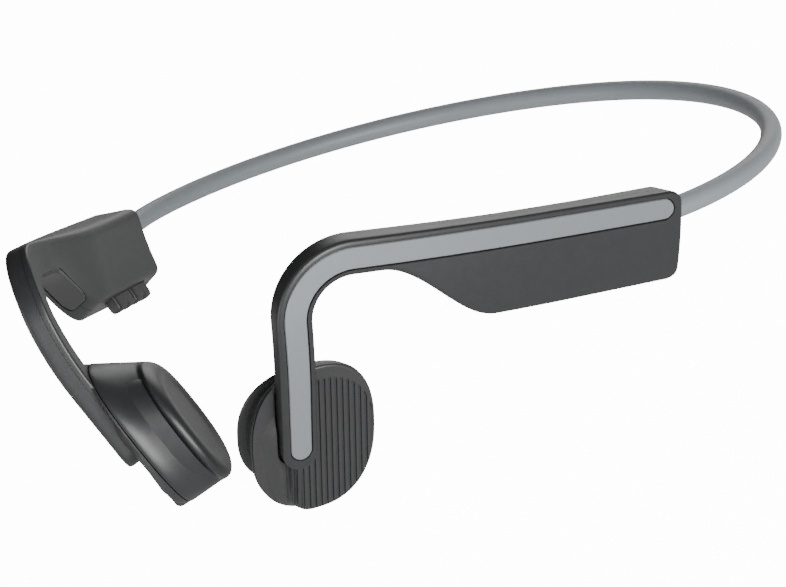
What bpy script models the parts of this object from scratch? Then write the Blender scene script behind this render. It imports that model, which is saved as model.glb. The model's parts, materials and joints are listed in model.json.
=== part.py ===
"""Bone conduction headphones: an elastic neckband, two ear arms with pods, and two skin transducers.

The shapes are worked out in the attitude in which the headphones are worn, in millimetres: the
rear centre of the neckband is the origin, +X is the wearer's left, -Y is forward and +Z is up.
The empty named stance then lays the whole object down on a flat surface, resting on both
transducers and on the rear of the neckband, with its bounding box centred over the origin.

Each side is drawn on a curved outer sheet. A place on it is (u, w, q): u runs forward from the
band, w runs up the sheet, and q goes inward from the outer face. The arm and the pod are carried
along a path on that sheet, where a place is (d, s, q): d along the path, s across it, upward.
"""
import math

import bmesh
import bpy
import numpy as np
from mathutils import Matrix, Vector
from mathutils.geometry import interpolate_bezier

MM = 0.001
GAP = 0.3  # clearance between pieces that touch or slide

# Neckband: a sprung metal wire inside a silicone sheath.
BAND_WIDEST = (61.5, -59.4)  # the widest place of the band
BAND_REAR_HANDLE, BAND_SIDE_HANDLE, BAND_END_HANDLE = 32.5, 30.0, 6.0
BAND_RADIUS = 1.9
WIRE_RADIUS = 0.55
BAND_SPLIT = 28.0  # distance from the rear centre to each flexing joint
BAND_STEP = 4.6
BAND_SAG = 0.75  # the sides of the band lie this much lower than its rear
BAND_SIDES, WIRE_SIDES = 10, 6
BAND_DEPTH = 4.5  # the band enters the pod this far inside the outer face
FLEX_OFFSET = 0.1  # the flex axis lies this far outside the sheath

# Outer sheet of a side.
SHEET_REAR = (63.54, -74.43)
SHEET_HEADING = 26.45  # degrees between the pod and straight ahead, towards the head
SHEET_TURN, SHEET_TURN_FROM, SHEET_TURN_TO = 13.2, 28.0, 76.0
LEAN_HIGH, LEAN_LOW = 11.0, 25.0  # degrees from upright, above and below the bend of the sheet
LEAN_FROM, LEAN_TO = 4.6, -11.0

# Path of the arm: a straight rise, one hook arc, and a drop to the transducer.
PATH_START = (3.0, 0.28)
PATH_RISE = 9.6
PATH_CORNER_RUN = 69.5  # along the rise, from the start to where the rise would meet the drop
PATH_DROP = 85.5  # degrees below level
HOOK_RADIUS = 9.4
DROP_LENGTH = 38.2  # from that meeting point to the tongue's tip

# Section of the arm and the pod.
ARM_ABOVE, ARM_BELOW = 3.15, 2.85  # outer face, above and below the path
ARM_DEPTH = 4.2
TONGUE_RADIUS = 3.0
POD_BELOW = 13.6
POD_DEPTH = 8.0
POD_TAPER_FROM, POD_TAPER_TO = 34.0, 54.5  # where the pod's lower edge rises into the arm
DEPTH_TAPER_FROM, DEPTH_TAPER_TO = 27.0, 64.0
POD_REAR_RADIUS = 2.0
POD_REAR_TILT = 3.3  # degrees of the rear edge from upright
TOP_SLOPE = 1.7  # the pod's inner top edge lies this much below the outer one
LOWER_LIFT, LOWER_TUCK = 1.2, 2.4  # the pod's inner lower edge, up and outward
WALL = 1.2
FACE_WALL = 1.9
PARTING = 3.0  # depth of the parting plane between the outer and the inner shell
POD_CAVITY_END = 50.0
CHANNEL_HALF = 0.9
SPRING_HALF, SPRING_SETBACK = 0.3, 1.5  # the arm's spring: half its thickness, and its end gap

# Accent strip let into the outer face.
STRIP_HALF = 1.8
STRIP_START, STRIP_END_MARGIN = 1.9, 2.2
STRIP_DEPTH, STRIP_RECESS = 0.5, 0.1

# Transducer, on flat axes: x forward, y up and z inward from the outer face.
PAD_PLACE = (71.1, -22.1)
PAD_HALF_WIDTH, PAD_HALF_HEIGHT = 10.1, 15.0
PAD_POWER = 2.2
PAD_SHEAR = 1.0
FACE_LEVEL, SEAM_LEVEL, SKIN_LEVEL = 1.6, 8.4, 12.9
PAD_GROW, PAD_SHORTEN, PAD_SINK, PAD_DRIFT = 0.9, 4.0, 4.6, -0.5  # from face to skin side
PAD_SIDES, DRIVER_SIDES = 26, 14
SEAT_WALL = 0.9  # the wall under the tongue's seat
PLATE_THICK, PLATE_TRAVEL = 1.1, 0.35
PLATE_MARGIN = 1.3
EDGE_ROUND = 0.35
COVER_SHOULDER, COVER_EDGE, COVER_CREST = 1.4, 0.4, (0.6, 1.8)  # its rounded rim
DISH_DEPTH = 0.9
DISH_RIM, DISH_FLOOR = 3.7, 4.6  # inset of the dish from the cover's outline

# Moving-coil driver.
DRIVER_PLACE = (-0.6, -3.6)
DRIVER_RADIUS = 7.0
YOKE_BACK, YOKE_HIGH, YOKE_WALL = 5.7, 3.4, 0.9
YOKE_FLOOR = 0.8
MAGNET_RADIUS, MAGNET_THICK, POLE_THICK = 4.3, 1.3, 0.6
SPRING_THICK, SPRING_RING = 0.4, 4.4

SWITCH_PLACE, SWITCH_SIZE = (-6.4, -3.0), (3.0, 1.1)  # its side and its height
MICROPHONE_PLACE, MICROPHONE_SIZE = (-2.0, -15.2, 10.3), (2.6, 2.0, 0.9)

# Pod contents and controls.
POD_MIDDLE, BATTERY_RUN = -4.4, 18.5
BATTERY = (22.0, 8.0, 2.4)
BOARD_SIZE, BOARD_THICK = (22.0, 7.0), 0.8
SHIELD_SIZE = (9.0, 5.5, 1.4)
USB_SIZE = (8.94, 3.2, 6.5)  # along the slope, thin way, and depth
USB_RUN, PORT_DEEP = 45.6, 3.1
BUTTON_LENGTH, BUTTON_WIDTH, BUTTON_PROUD, BUTTON_DEEP = 8.2, 2.4, 1.9, 3.5
BUTTON_RUNS = {"volume_up": 12.6, "volume_down": 21.4}
BUTTON_TRAVEL = 0.4
RIDGE_GROOVE = 0.6
COVER_LENGTH, COVER_WIDTH, COVER_THICK = 12.4, 4.2, 1.0

SIDES = {"left": 1.0, "right": -1.0}


def smooth(value, low, high):
    """0 below low, 1 above high, and an even S between them."""
    t = min(max((value - low) / (high - low), 0.0), 1.0)
    return t * t * (3.0 - 2.0 * t)


# ---------------------------------------------------------------- places on a side

SHEET_STEPS = np.linspace(-60.0, 120.0, 1801)


def running_sum(values):
    """The integral of the values over SHEET_STEPS, zero at 0."""
    parts = (values[1:] + values[:-1]) / 2.0 * np.diff(SHEET_STEPS)
    total = np.concatenate(([0.0], np.cumsum(parts)))
    return total - np.interp(0.0, SHEET_STEPS, total)


def turn_angles(steps):
    """Heading of the sheet in plan at each run, in radians."""
    share = np.clip((steps - SHEET_TURN_FROM) / (SHEET_TURN_TO - SHEET_TURN_FROM), 0.0, 1.0)
    return np.radians(SHEET_HEADING + SHEET_TURN * share)


def lean_angles(steps):
    """Lean of the sheet from upright at each height, in radians."""
    share = np.clip((LEAN_FROM - steps) / (LEAN_FROM - LEAN_TO), 0.0, 1.0)
    return np.radians(LEAN_HIGH + (LEAN_LOW - LEAN_HIGH) * share)


PLAN_X = SHEET_REAR[0] - running_sum(np.sin(turn_angles(SHEET_STEPS)))
PLAN_Y = SHEET_REAR[1] - running_sum(np.cos(turn_angles(SHEET_STEPS)))
LEAN_IN = -running_sum(np.sin(lean_angles(SHEET_STEPS)))
LEAN_UP = running_sum(np.cos(lean_angles(SHEET_STEPS)))


def sheet_point(sign, u, w, q):
    """The place u along, w up and q inward of a side's outer sheet."""
    heading, lean = float(turn_angles(u)), float(lean_angles(w))
    level = Vector((math.cos(heading), -math.sin(heading), 0.0))
    normal = level * math.cos(lean) - Vector((0.0, 0.0, math.sin(lean)))
    base = Vector((np.interp(u, SHEET_STEPS, PLAN_X), np.interp(u, SHEET_STEPS, PLAN_Y), 0.0))
    inward, up = np.interp(w, SHEET_STEPS, LEAN_IN), np.interp(w, SHEET_STEPS, LEAN_UP)
    point = base - level * inward + Vector((0.0, 0.0, up)) - normal * q
    return Vector((sign * point.x, point.y, point.z))


HOOK_TURN = PATH_RISE + PATH_DROP
HOOK_TANGENT = HOOK_RADIUS * math.tan(math.radians(HOOK_TURN / 2.0))
HOOK_START = PATH_CORNER_RUN - HOOK_TANGENT
HOOK_END = HOOK_START + HOOK_RADIUS * math.radians(HOOK_TURN)
PATH_END = HOOK_END + DROP_LENGTH - HOOK_TANGENT


def path_angle(d):
    """Heading of the path on the sheet, in degrees above level."""
    return PATH_RISE - HOOK_TURN * min(max((d - HOOK_START) / (HOOK_END - HOOK_START), 0.0), 1.0)


def path_place(d):
    """Where the path has got to on the sheet (u, w) after the distance d."""
    rise, drop = math.radians(PATH_RISE), math.radians(-PATH_DROP)
    straight = min(d, HOOK_START)
    u = PATH_START[0] + straight * math.cos(rise)
    w = PATH_START[1] + straight * math.sin(rise)
    if d > HOOK_START:
        angle = math.radians(path_angle(d))
        u += HOOK_RADIUS * (math.sin(rise) - math.sin(angle))
        w += HOOK_RADIUS * (math.cos(angle) - math.cos(rise))
    if d > HOOK_END:
        u += (d - HOOK_END) * math.cos(drop)
        w += (d - HOOK_END) * math.sin(drop)
    return u, w


def path_point(sign, d, s, q):
    """The place d along the path, s across it and q inward of the outer face."""
    u, w = path_place(d)
    tilt = POD_REAR_TILT + (PATH_RISE - POD_REAR_TILT) * smooth(d, 0.0, POD_TAPER_FROM)
    across = math.radians(tilt if d < HOOK_START else path_angle(d))
    return sheet_point(sign, u - s * math.sin(across), w + s * math.cos(across), q)


class Frame:
    """Flat local axes at a place: x forward, y across and z inward; mirrored on the right."""

    def __init__(self, place, sign, a, b, q):
        step = 0.5
        self.origin = place(sign, a, b, q)
        self.z = (place(sign, a, b, q + step) - self.origin).normalized()
        along = place(sign, a + step, b, q) - place(sign, a - step, b, q)
        self.x = (along - self.z * along.dot(self.z)).normalized()
        self.y = self.z.cross(self.x) * sign
        self.y = -self.y if self.y.dot(place(sign, a, b + step, q) - self.origin) < 0.0 else self.y

    def point(self, x, y, z):
        """The worn-frame place of a local point."""
        return self.origin + self.x * x + self.y * y + self.z * z

    def turned(self, degrees):
        """The same place with x turned towards y."""
        angle = math.radians(degrees)
        other = Frame.__new__(Frame)
        other.origin, other.z = self.origin, self.z
        other.x = self.x * math.cos(angle) + self.y * math.sin(angle)
        other.y = self.y * math.cos(angle) - self.x * math.sin(angle)
        return other

    def moved(self, x, y, z):
        """The same axes at another place."""
        other = self.turned(0.0)
        other.origin = self.point(x, y, z)
        return other


# ---------------------------------------------------------------- mesh building

def face_out(bm):
    """Turns the faces of a closed mesh outward."""
    bmesh.ops.recalc_face_normals(bm, faces=bm.faces)
    if bm.calc_volume(signed=True) < 0.0:
        bmesh.ops.reverse_faces(bm, faces=bm.faces)
    return bm


def loft(rings, place=Vector):
    """A closed solid extruded from ring to ring; every ring has the same number of corners."""
    bm = bmesh.new()
    first = face = bm.faces.new([bm.verts.new(place(corner)) for corner in rings[0]])
    for ring in rings[1:]:
        grown = bmesh.ops.extrude_face_region(bm, geom=[face])
        if face != first:
            bmesh.ops.delete(bm, geom=[face], context="FACES_ONLY")
        face = next(item for item in grown["geom"] if isinstance(item, bmesh.types.BMFace))
        for vert, corner in zip(face.verts, ring):
            vert.co = place(corner)
    return face_out(bm)


def block(frame, size, centre=(0.0, 0.0, 0.0)):
    """A box of the given size along the frame's axes."""
    bm = bmesh.new()
    bmesh.ops.create_cube(bm, size=1.0)
    for vert in bm.verts:
        vert.co = frame.point(*(c + s * v for c, s, v in zip(centre, size, vert.co)))
    return face_out(bm)


def turned(frame, profile, sides=DRIVER_SIDES):
    """A profile of (radius, z) corners spun about the frame's z axis."""
    bm = bmesh.new()
    verts = [bm.verts.new((radius, 0.0, z)) for radius, z in profile]
    on_axis = profile[0][0] == 0.0 and profile[-1][0] == 0.0
    pairs = list(zip(verts, verts[1:])) + ([] if on_axis else [(verts[-1], verts[0])])
    edges = [bm.edges.new(pair) for pair in pairs]
    bmesh.ops.spin(bm, geom=verts + edges, cent=(0, 0, 0), axis=(0, 0, 1), angle=math.tau,
                   steps=sides, use_merge=True)
    bmesh.ops.remove_doubles(bm, verts=bm.verts, dist=0.0001)
    for vert in bm.verts:
        vert.co = frame.point(*vert.co)
    return face_out(bm)


def disc(frame, radius, low, high, sides=DRIVER_SIDES):
    """A round plate or pin between two levels."""
    return turned(frame, [(0.0, low), (radius, low), (radius, high), (0.0, high)], sides)


def make_empty(name, parent=None, location=(0.0, 0.0, 0.0)):
    """An empty, placed in millimetres in the worn frame."""
    empty = bpy.data.objects.new(name, None)
    empty.empty_display_size = 5.0 * MM
    bpy.context.scene.collection.objects.link(empty)
    empty.parent = parent
    empty.location = Vector(location) * MM
    return empty


def make_object(name, bm, material, parent, origin=(0.0, 0.0, 0.0)):
    """An object whose origin is at a worn-frame place, with its mesh in metres."""
    origin = Vector(origin)
    for vert in bm.verts:
        vert.co = (vert.co - origin) * MM
    mesh = bpy.data.meshes.new(name)
    bm.to_mesh(mesh)
    bm.free()
    mesh.shade_smooth()
    mesh.set_sharp_from_angle(angle=math.radians(35.0))
    mesh.materials.append(material)
    obj = bpy.data.objects.new(name, mesh)
    bpy.context.scene.collection.objects.link(obj)
    obj.parent = parent
    held = parent["worn_place"] if parent and "worn_place" in parent else (0.0, 0.0, 0.0)
    obj.location = (origin - Vector(held)) * MM
    return obj


def cut(target, bm, operation="DIFFERENCE", solver="EXACT"):
    """Takes a cutter's shape out of a solid, or joins it on."""
    name = f"{target.name}.cut{len(target.modifiers)}"
    cutter = make_object(name, bm, target.data.materials[0], target.parent)
    cutter.hide_render = True
    cutter.display_type = "WIRE"
    boolean = target.modifiers.new(name, "BOOLEAN")
    boolean.operation = operation
    boolean.solver = solver
    boolean.object = cutter
    return cutter


def make_material(name, colour, roughness, metallic=0.0):
    """A plain Principled material."""
    material = bpy.data.materials.new(name)
    material.use_nodes = True
    shader = material.node_tree.nodes["Principled BSDF"]
    shader.inputs["Base Color"].default_value = (*colour, 1.0)
    shader.inputs["Roughness"].default_value = roughness
    shader.inputs["Metallic"].default_value = metallic
    return material


def make_materials():
    """Every material of the object, by name."""
    looks = {
        "shell_black": ((0.035, 0.036, 0.037), 0.5, 0.0),
        "cover_black": ((0.028, 0.029, 0.030), 0.6, 0.0),
        "band_grey": ((0.15, 0.165, 0.18), 0.55, 0.0),
        "accent_silver": ((0.42, 0.44, 0.46), 0.35, 0.6),
        "spring_titanium": ((0.45, 0.43, 0.41), 0.35, 1.0),
        "driver_steel": ((0.5, 0.5, 0.5), 0.3, 1.0),
        "coil_copper": ((0.7, 0.33, 0.16), 0.35, 1.0),
        "circuit_green": ((0.02, 0.14, 0.07), 0.45, 0.0),
        "part_plastic": ((0.02, 0.02, 0.022), 0.4, 0.0),
        "battery_foil": ((0.6, 0.6, 0.62), 0.35, 0.8),
        "seal_rubber": ((0.03, 0.03, 0.031), 0.7, 0.0),
    }
    return {name: make_material(name, *look) for name, look in looks.items()}


# ---------------------------------------------------------------- neckband

def band_line(sign):
    """Points 0.25 mm apart along one half of the band, from the rear centre into the pod."""
    widest = Vector((BAND_WIDEST[0], BAND_WIDEST[1], 0.0))
    end = sheet_point(1.0, PATH_START[0] + WALL, 0.0, BAND_DEPTH)
    heading = math.radians(SHEET_HEADING)
    into_pod = Vector((-math.sin(heading), -math.cos(heading), 0.0))
    rear = interpolate_bezier(Vector((0, 0, 0)), Vector((BAND_REAR_HANDLE, 0, 0)),
                              widest + Vector((0, BAND_SIDE_HANDLE, 0)), widest, 400)
    side = interpolate_bezier(widest, widest - Vector((0, BAND_END_HANDLE, 0)),
                              end - into_pod * BAND_END_HANDLE, end, 100)
    points = rear + side[1:]
    return [Vector((sign * p.x, p.y, -BAND_SAG * smooth(-p.y, 0.0, -BAND_WIDEST[1])))
            for p in points]


def band_stations(sign, start, stop, step):
    """Places and headings along the band between two distances from the rear centre."""
    points = band_line(sign)
    runs = [0.0]
    for before, after in zip(points, points[1:]):
        runs.append(runs[-1] + (after - before).length)
    stop = min(stop, runs[-1])
    count = max(2, round((stop - start) / step) + 1)
    columns = np.array(points).T
    stations = []
    for run in np.linspace(start, stop, count):
        here = Vector([np.interp(run, runs, column) for column in columns])
        before = Vector([np.interp(run - 0.4, runs, column) for column in columns])
        after = Vector([np.interp(run + 0.4, runs, column) for column in columns])
        heading = after - before
        heading = heading if run > 0.4 else Vector((sign, 0.0, 0.0))
        stations.append((here, heading.normalized()))
    return stations


def band_length():
    """Length of one half of the band."""
    points = band_line(1.0)
    return sum((b - a).length for a, b in zip(points, points[1:]))


def band_rings(stations, radius, sides):
    """Round rings square to the band at each station."""
    rings = []
    for here, heading in stations:
        side = heading.cross(Vector((0.0, 0.0, 1.0)))
        rings.append([here + side * radius * math.cos(math.tau * k / sides)
                      + Vector((0.0, 0.0, radius * math.sin(math.tau * k / sides)))
                      for k in range(sides)])
    return rings


def whole_rear(reach, step):
    """Stations of the rear stretch, from the right joint to the left one."""
    right = band_stations(-1.0, 0.0, reach, step)
    left = band_stations(1.0, 0.0, reach, step)
    return [(here, -heading) for here, heading in reversed(right[1:])] + left


def make_band_piece(name, stations, bore_stations, parent, materials):
    """A stretch of the sheath with its bore, and the spring wire inside it."""
    sheath = make_object(f"{name}_sheath", loft(band_rings(stations, BAND_RADIUS, BAND_SIDES)),
                         materials["band_grey"], parent)
    cut(sheath, loft(band_rings(bore_stations, WIRE_RADIUS + GAP, WIRE_SIDES + 2)))
    make_object(f"{name}_spring_wire", loft(band_rings(stations, WIRE_RADIUS, WIRE_SIDES)),
                materials["spring_titanium"], parent)


def make_neckband(materials, rear_parent, side_parents):
    """The sheath and its wire, in a rear stretch and a stretch on each side."""
    reach = BAND_SPLIT - GAP / 2.0
    make_band_piece("neckband_rear", whole_rear(reach, BAND_STEP), whole_rear(reach + 1.0, BAND_STEP),
                    rear_parent, materials)
    for side, sign in SIDES.items():
        start, end = BAND_SPLIT + GAP / 2.0, band_length()
        stations = band_stations(sign, start, end, BAND_STEP)
        longer = band_stations(sign, start - 1.0, end, BAND_STEP)
        last, heading = longer[-1]
        longer.append((last + heading, heading))
        make_band_piece(f"neckband_{side}", stations, longer, side_parents[side], materials)


def flex_place(sign):
    """Where the flex axis of a side stands, on the outside of the sheath."""
    here, heading = band_stations(sign, BAND_SPLIT, BAND_SPLIT + 1.0, 1.0)[0]
    outward = heading.cross(Vector((0.0, 0.0, 1.0))) * -sign
    return here + outward * (BAND_RADIUS + FLEX_OFFSET)


# ---------------------------------------------------------------- arm and pod shells

def section_corners(d, inset, deepest=None):
    """Corners (s, q) of the arm's or pod's section, and the share of the pod in it."""
    pod = 1.0 - smooth(d, POD_TAPER_FROM, POD_TAPER_TO)
    deep = 1.0 - smooth(d, DEPTH_TAPER_FROM, DEPTH_TAPER_TO)
    depth = (ARM_DEPTH + (POD_DEPTH - ARM_DEPTH) * deep if deepest is None else deepest) - inset
    top, low = ARM_ABOVE - inset, -(ARM_BELOW + (POD_BELOW - ARM_BELOW) * pod) + inset
    return [(top, inset), (top - TOP_SLOPE * deep, depth),
            (low + LOWER_LIFT * pod, depth - LOWER_TUCK * pod), (low, inset)]


def fillet(corners, radii, steps=3):
    """The outline with each corner rounded and each long side kept on the sheet's curve."""
    ring = []
    count = len(corners)
    for k, radius in enumerate(radii):
        here = Vector(corners[k])
        before = Vector(corners[k - 1]) - here
        after = Vector(corners[(k + 1) % count]) - here
        reach = min(radius, before.length * 0.45, after.length * 0.45)
        start, end = here + before.normalized() * reach, here + after.normalized() * reach
        for j in range(steps):
            t = j / (steps - 1)
            ring.append(start * (1 - t) ** 2 + here * 2 * t * (1 - t) + end * t ** 2)
        if k % 2:
            next_reach = min(radii[(k + 1) % count], after.length * 0.45)
            beyond = here + after - after.normalized() * next_reach
            ring += [end.lerp(beyond, share) for share in (0.25, 0.5, 0.75)]
    return ring


def end_inset(d, start, end, start_radius, end_radius):
    """How far a section draws in near the rounded ends of a run."""
    if d - start < start_radius:
        near = start_radius - (d - start)
        return start_radius - math.sqrt(max(start_radius ** 2 - near ** 2, 0.0))
    if end - d < end_radius:
        near = end_radius - (end - d)
        return end_radius - math.sqrt(max(end_radius ** 2 - near ** 2, 0.0))
    return 0.0


def arm_stations():
    """Distances along the path at which the arm and pod get a section."""
    rear = [POD_REAR_RADIUS * (1.0 - math.cos(math.radians(a))) for a in (25, 55, 90)]
    pod = [POD_TAPER_FROM / 2.0]
    taper = list(np.linspace(POD_TAPER_FROM - 2.0, HOOK_START, 8))
    hook = list(np.linspace(HOOK_START, HOOK_END, 7))[1:]
    drop = list(np.linspace(HOOK_END, PATH_END - TONGUE_RADIUS, 4))[1:]
    tip = [PATH_END - TONGUE_RADIUS * (1.0 - math.sin(math.radians(a))) for a in (32, 58, 78)]
    return rear + pod + taper + hook + drop + tip


def arm_rings(inset=0.0):
    """Rings of the whole arm and pod; a negative inset leaves clearance around it."""
    rings = []
    for d in arm_stations():
        drawn = end_inset(d, 0.0, PATH_END, POD_REAR_RADIUS, TONGUE_RADIUS)
        drawn_depth = drawn if d < POD_REAR_RADIUS else 0.0
        corners = section_corners(d, inset)
        top, low = corners[0][0], corners[3][0]
        middle = (ARM_ABOVE - ARM_BELOW) / 2.0
        limited = [(max(min(s, top - drawn), middle + 0.05) if s > middle else
                    min(max(s, low + drawn), middle - 0.05),
                    q - drawn_depth * 0.6 if q > PARTING else q) for s, q in corners]
        rings.append([(d, s, q) for s, q in fillet(limited, (0.9, 1.6, 1.6, 0.9))])
    return rings


def bar_ring(d, low, high, shallow, deep):
    """A four-cornered section of a bar along the path."""
    return [(d, low, shallow), (d, high, shallow), (d, high, deep), (d, low, deep)]


def bar_rings(start, end, low, high, shallow, deep, step=BAND_STEP):
    """Rings of a square-ended bar or channel along the path."""
    count = max(2, round((end - start) / step) + 1)
    return [bar_ring(d, low, high, shallow, deep) for d in np.linspace(start, end, count)]


def strip_rings(start, end, half, shallow, deep):
    """Rings of a strip with round ends along the whole path."""
    turns = [half * (1.0 - math.cos(math.radians(a))) for a in (25, 50)]
    even = list(np.linspace(start + half, HOOK_START, 5)) + list(np.linspace(HOOK_START, HOOK_END, 7))[1:]
    even += list(np.linspace(HOOK_END, end - half, 3))[1:]
    stations = [start + t for t in turns] + even + [end - t for t in reversed(turns)]
    rings = []
    for d in stations:
        drawn = end_inset(d, start, end, half, half)
        rings.append(bar_ring(d, drawn - half, half - drawn, shallow, deep))
    return rings


def slab_rings(shallow, deep):
    """Rings of a slab that follows the whole outer sheet between two depths."""
    heights = list(np.linspace(24.0, LEAN_FROM, 4)) + list(np.linspace(LEAN_FROM, LEAN_TO, 7))[1:]
    heights += list(np.linspace(LEAN_TO, -46.0, 4))[1:]
    runs = [-8.0, SHEET_TURN_FROM] + list(np.linspace(SHEET_TURN_FROM, SHEET_TURN_TO, 20))[1:] + [95.0]
    return [[(u, w, shallow) for w in heights] + [(u, w, deep) for w in reversed(heights)]
            for u in runs]


def cavity_rings():
    """Rings of the pod's hollow."""
    rings = []
    for d in np.linspace(WALL + 0.3, POD_CAVITY_END, 9):
        corners = section_corners(d, WALL)
        corners = [(s, max(q, FACE_WALL)) for s, q in corners]
        rings.append([(d, s, q) for s, q in fillet(corners, (0.5, 1.0, 1.0, 0.5), 2)])
    return rings


def make_shells(side, sign, parent, materials):
    """Outer and inner shell of the arm and pod, the accent strip and the arm's spring."""
    place = lambda corner: path_point(sign, *corner)
    trimmed = {"outer": (PARTING, 14.0), "inner": (-6.0, PARTING + GAP)}
    shells = {}
    for layer, (shallow, deep) in trimmed.items():
        name = f"{side}_{layer}_shell"
        shell = make_object(name, loft(arm_rings(), place), materials["shell_black"], parent)
        cut(shell, loft(slab_rings(shallow, deep), lambda corner: sheet_point(sign, *corner)))
        cut(shell, loft(cavity_rings(), place))
        cut(shell, band_hole(sign))
        shells[layer] = shell
    spring_start, spring_end = POD_CAVITY_END + SPRING_SETBACK, PATH_END - TONGUE_RADIUS - SPRING_SETBACK
    channel = bar_rings(POD_CAVITY_END - WALL, spring_end + GAP, -CHANNEL_HALF, CHANNEL_HALF,
                        FACE_WALL, PARTING + GAP / 2.0)
    cut(shells["outer"], loft(channel, place))
    strip_end = PATH_END - STRIP_END_MARGIN
    wide, floor = STRIP_HALF + GAP, STRIP_RECESS + STRIP_DEPTH + GAP
    cut(shells["outer"], loft(strip_rings(STRIP_START - GAP, strip_end + GAP, wide, -1.0, floor), place))
    make_object(f"{side}_accent_strip",
                loft(strip_rings(STRIP_START, strip_end, STRIP_HALF, STRIP_RECESS,
                                 STRIP_RECESS + STRIP_DEPTH), place),
                materials["accent_silver"], parent)
    middle = (FACE_WALL + PARTING + GAP / 2.0) / 2.0
    half = CHANNEL_HALF - GAP
    make_object(f"{side}_arm_spring",
                loft(bar_rings(spring_start, spring_end, -half, half, middle - SPRING_HALF,
                               middle + SPRING_HALF), place),
                materials["spring_titanium"], parent)
    return shells


def band_hole(sign):
    """The hole in the pod's rear wall that the sheath passes through."""
    stations = band_stations(sign, band_length() - 5.0, band_length(), 2.0)
    last, heading = stations[-1]
    stations.append((last + heading * 1.5, heading))
    return loft(band_rings(stations, BAND_RADIUS + GAP, BAND_SIDES))


# ---------------------------------------------------------------- transducer

def pad_outline(z, inset, sides=PAD_SIDES):
    """The transducer's outline at the level z: a leaning superellipse, drawn in by inset."""
    share = (z - FACE_LEVEL) / (SKIN_LEVEL - FACE_LEVEL)
    wide = PAD_HALF_WIDTH + PAD_GROW * share - inset
    high = PAD_HALF_HEIGHT - PAD_SHORTEN * share - inset
    centre = -PAD_SINK * share
    ring = []
    for k in range(sides):
        angle = math.tau * (k + 0.5) / sides
        cosine, sine = math.cos(angle), math.sin(angle)
        x = wide * math.copysign(abs(cosine) ** (2.0 / PAD_POWER), cosine)
        y = high * math.copysign(abs(sine) ** (2.0 / PAD_POWER), sine)
        drift = PAD_DRIFT * share - PAD_SHEAR * y / PAD_HALF_HEIGHT
        ring.append((x + drift, centre + y, z))
    return ring


def pad_solid(frame, levels, sides=PAD_SIDES):
    """A solid through outlines given as (level, inset, drawn level)."""
    rings = [[(x, y, drawn) for x, y, _ in pad_outline(level, inset, sides)]
             for level, inset, drawn in levels]
    return loft(rings, lambda corner: frame.point(*corner))


def hollow(target, bm):
    """A cut in a thin-walled cup, by the solver that holds where the exact one drops faces."""
    return cut(target, bm, solver="MANIFOLD")


def make_transducer(side, sign, parent, materials):
    """Housing, ribbed plate, skin-side cover and the moving-coil driver of a transducer."""
    frame = Frame(sheet_point, sign, *PAD_PLACE, 0.0)
    place = lambda corner: path_point(sign, *corner)
    black = materials["shell_black"]
    floor = ARM_DEPTH + GAP + SEAT_WALL
    wide = FACE_LEVEL + WALL
    housing = make_object(
        f"{side}_transducer_housing",
        pad_solid(frame, [(FACE_LEVEL, WALL, FACE_LEVEL),
                          (FACE_LEVEL, EDGE_ROUND, FACE_LEVEL + EDGE_ROUND),
                          (wide, 0.0, wide), (SEAM_LEVEL, 0.0, SEAM_LEVEL)]),
        black, parent)
    hollow(housing, pad_solid(frame, [(floor, WALL, floor), (SEAM_LEVEL, WALL, SEAM_LEVEL + 1.0)]))
    pocket = FACE_LEVEL + PLATE_THICK + PLATE_TRAVEL + GAP
    hollow(housing, pad_solid(frame, [(FACE_LEVEL, PLATE_MARGIN - GAP, FACE_LEVEL - 2.0),
                                      (FACE_LEVEL, PLATE_MARGIN - GAP, pocket)]))
    tongue = bar_rings(HOOK_END + TONGUE_RADIUS, PATH_END + GAP, -ARM_BELOW - GAP, ARM_ABOVE + GAP,
                       -3.0, ARM_DEPTH + GAP, step=PATH_END)
    hollow(housing, loft(tongue, place))

    root = make_joint_empty(f"press_{side}_plate", parent, frame, "z") if side == "left" else parent
    plate = make_object(
        f"{side}_ribbed_plate",
        pad_solid(frame, [(FACE_LEVEL, PLATE_MARGIN, FACE_LEVEL),
                          (FACE_LEVEL, PLATE_MARGIN, FACE_LEVEL + PLATE_THICK)]),
        materials["cover_black"], root, frame.origin)
    cut(plate, loft(tongue, place))
    start = SEAM_LEVEL + GAP
    cover = make_object(
        f"{side}_contact_cover",
        pad_solid(frame, [(start, 0.0, start),
                          (SKIN_LEVEL - COVER_SHOULDER, 0.0, SKIN_LEVEL - COVER_SHOULDER),
                          (SKIN_LEVEL, COVER_CREST[0], SKIN_LEVEL - COVER_EDGE),
                          (SKIN_LEVEL, COVER_CREST[1], SKIN_LEVEL)]),
        black, parent)
    inside = SKIN_LEVEL - DISH_DEPTH - WALL
    cut(cover, pad_solid(frame, [(start, WALL, start - 1.0), (start, WALL, inside)]))
    cut(cover, pad_solid(frame, [(SKIN_LEVEL, DISH_FLOOR, SKIN_LEVEL - DISH_DEPTH),
                                 (SKIN_LEVEL, DISH_RIM, SKIN_LEVEL),
                                 (SKIN_LEVEL, DISH_RIM, SKIN_LEVEL + 1.0)]))
    make_driver(side, frame.moved(*DRIVER_PLACE, 0.0), inside, parent, materials)
    return frame, housing, cover


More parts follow.
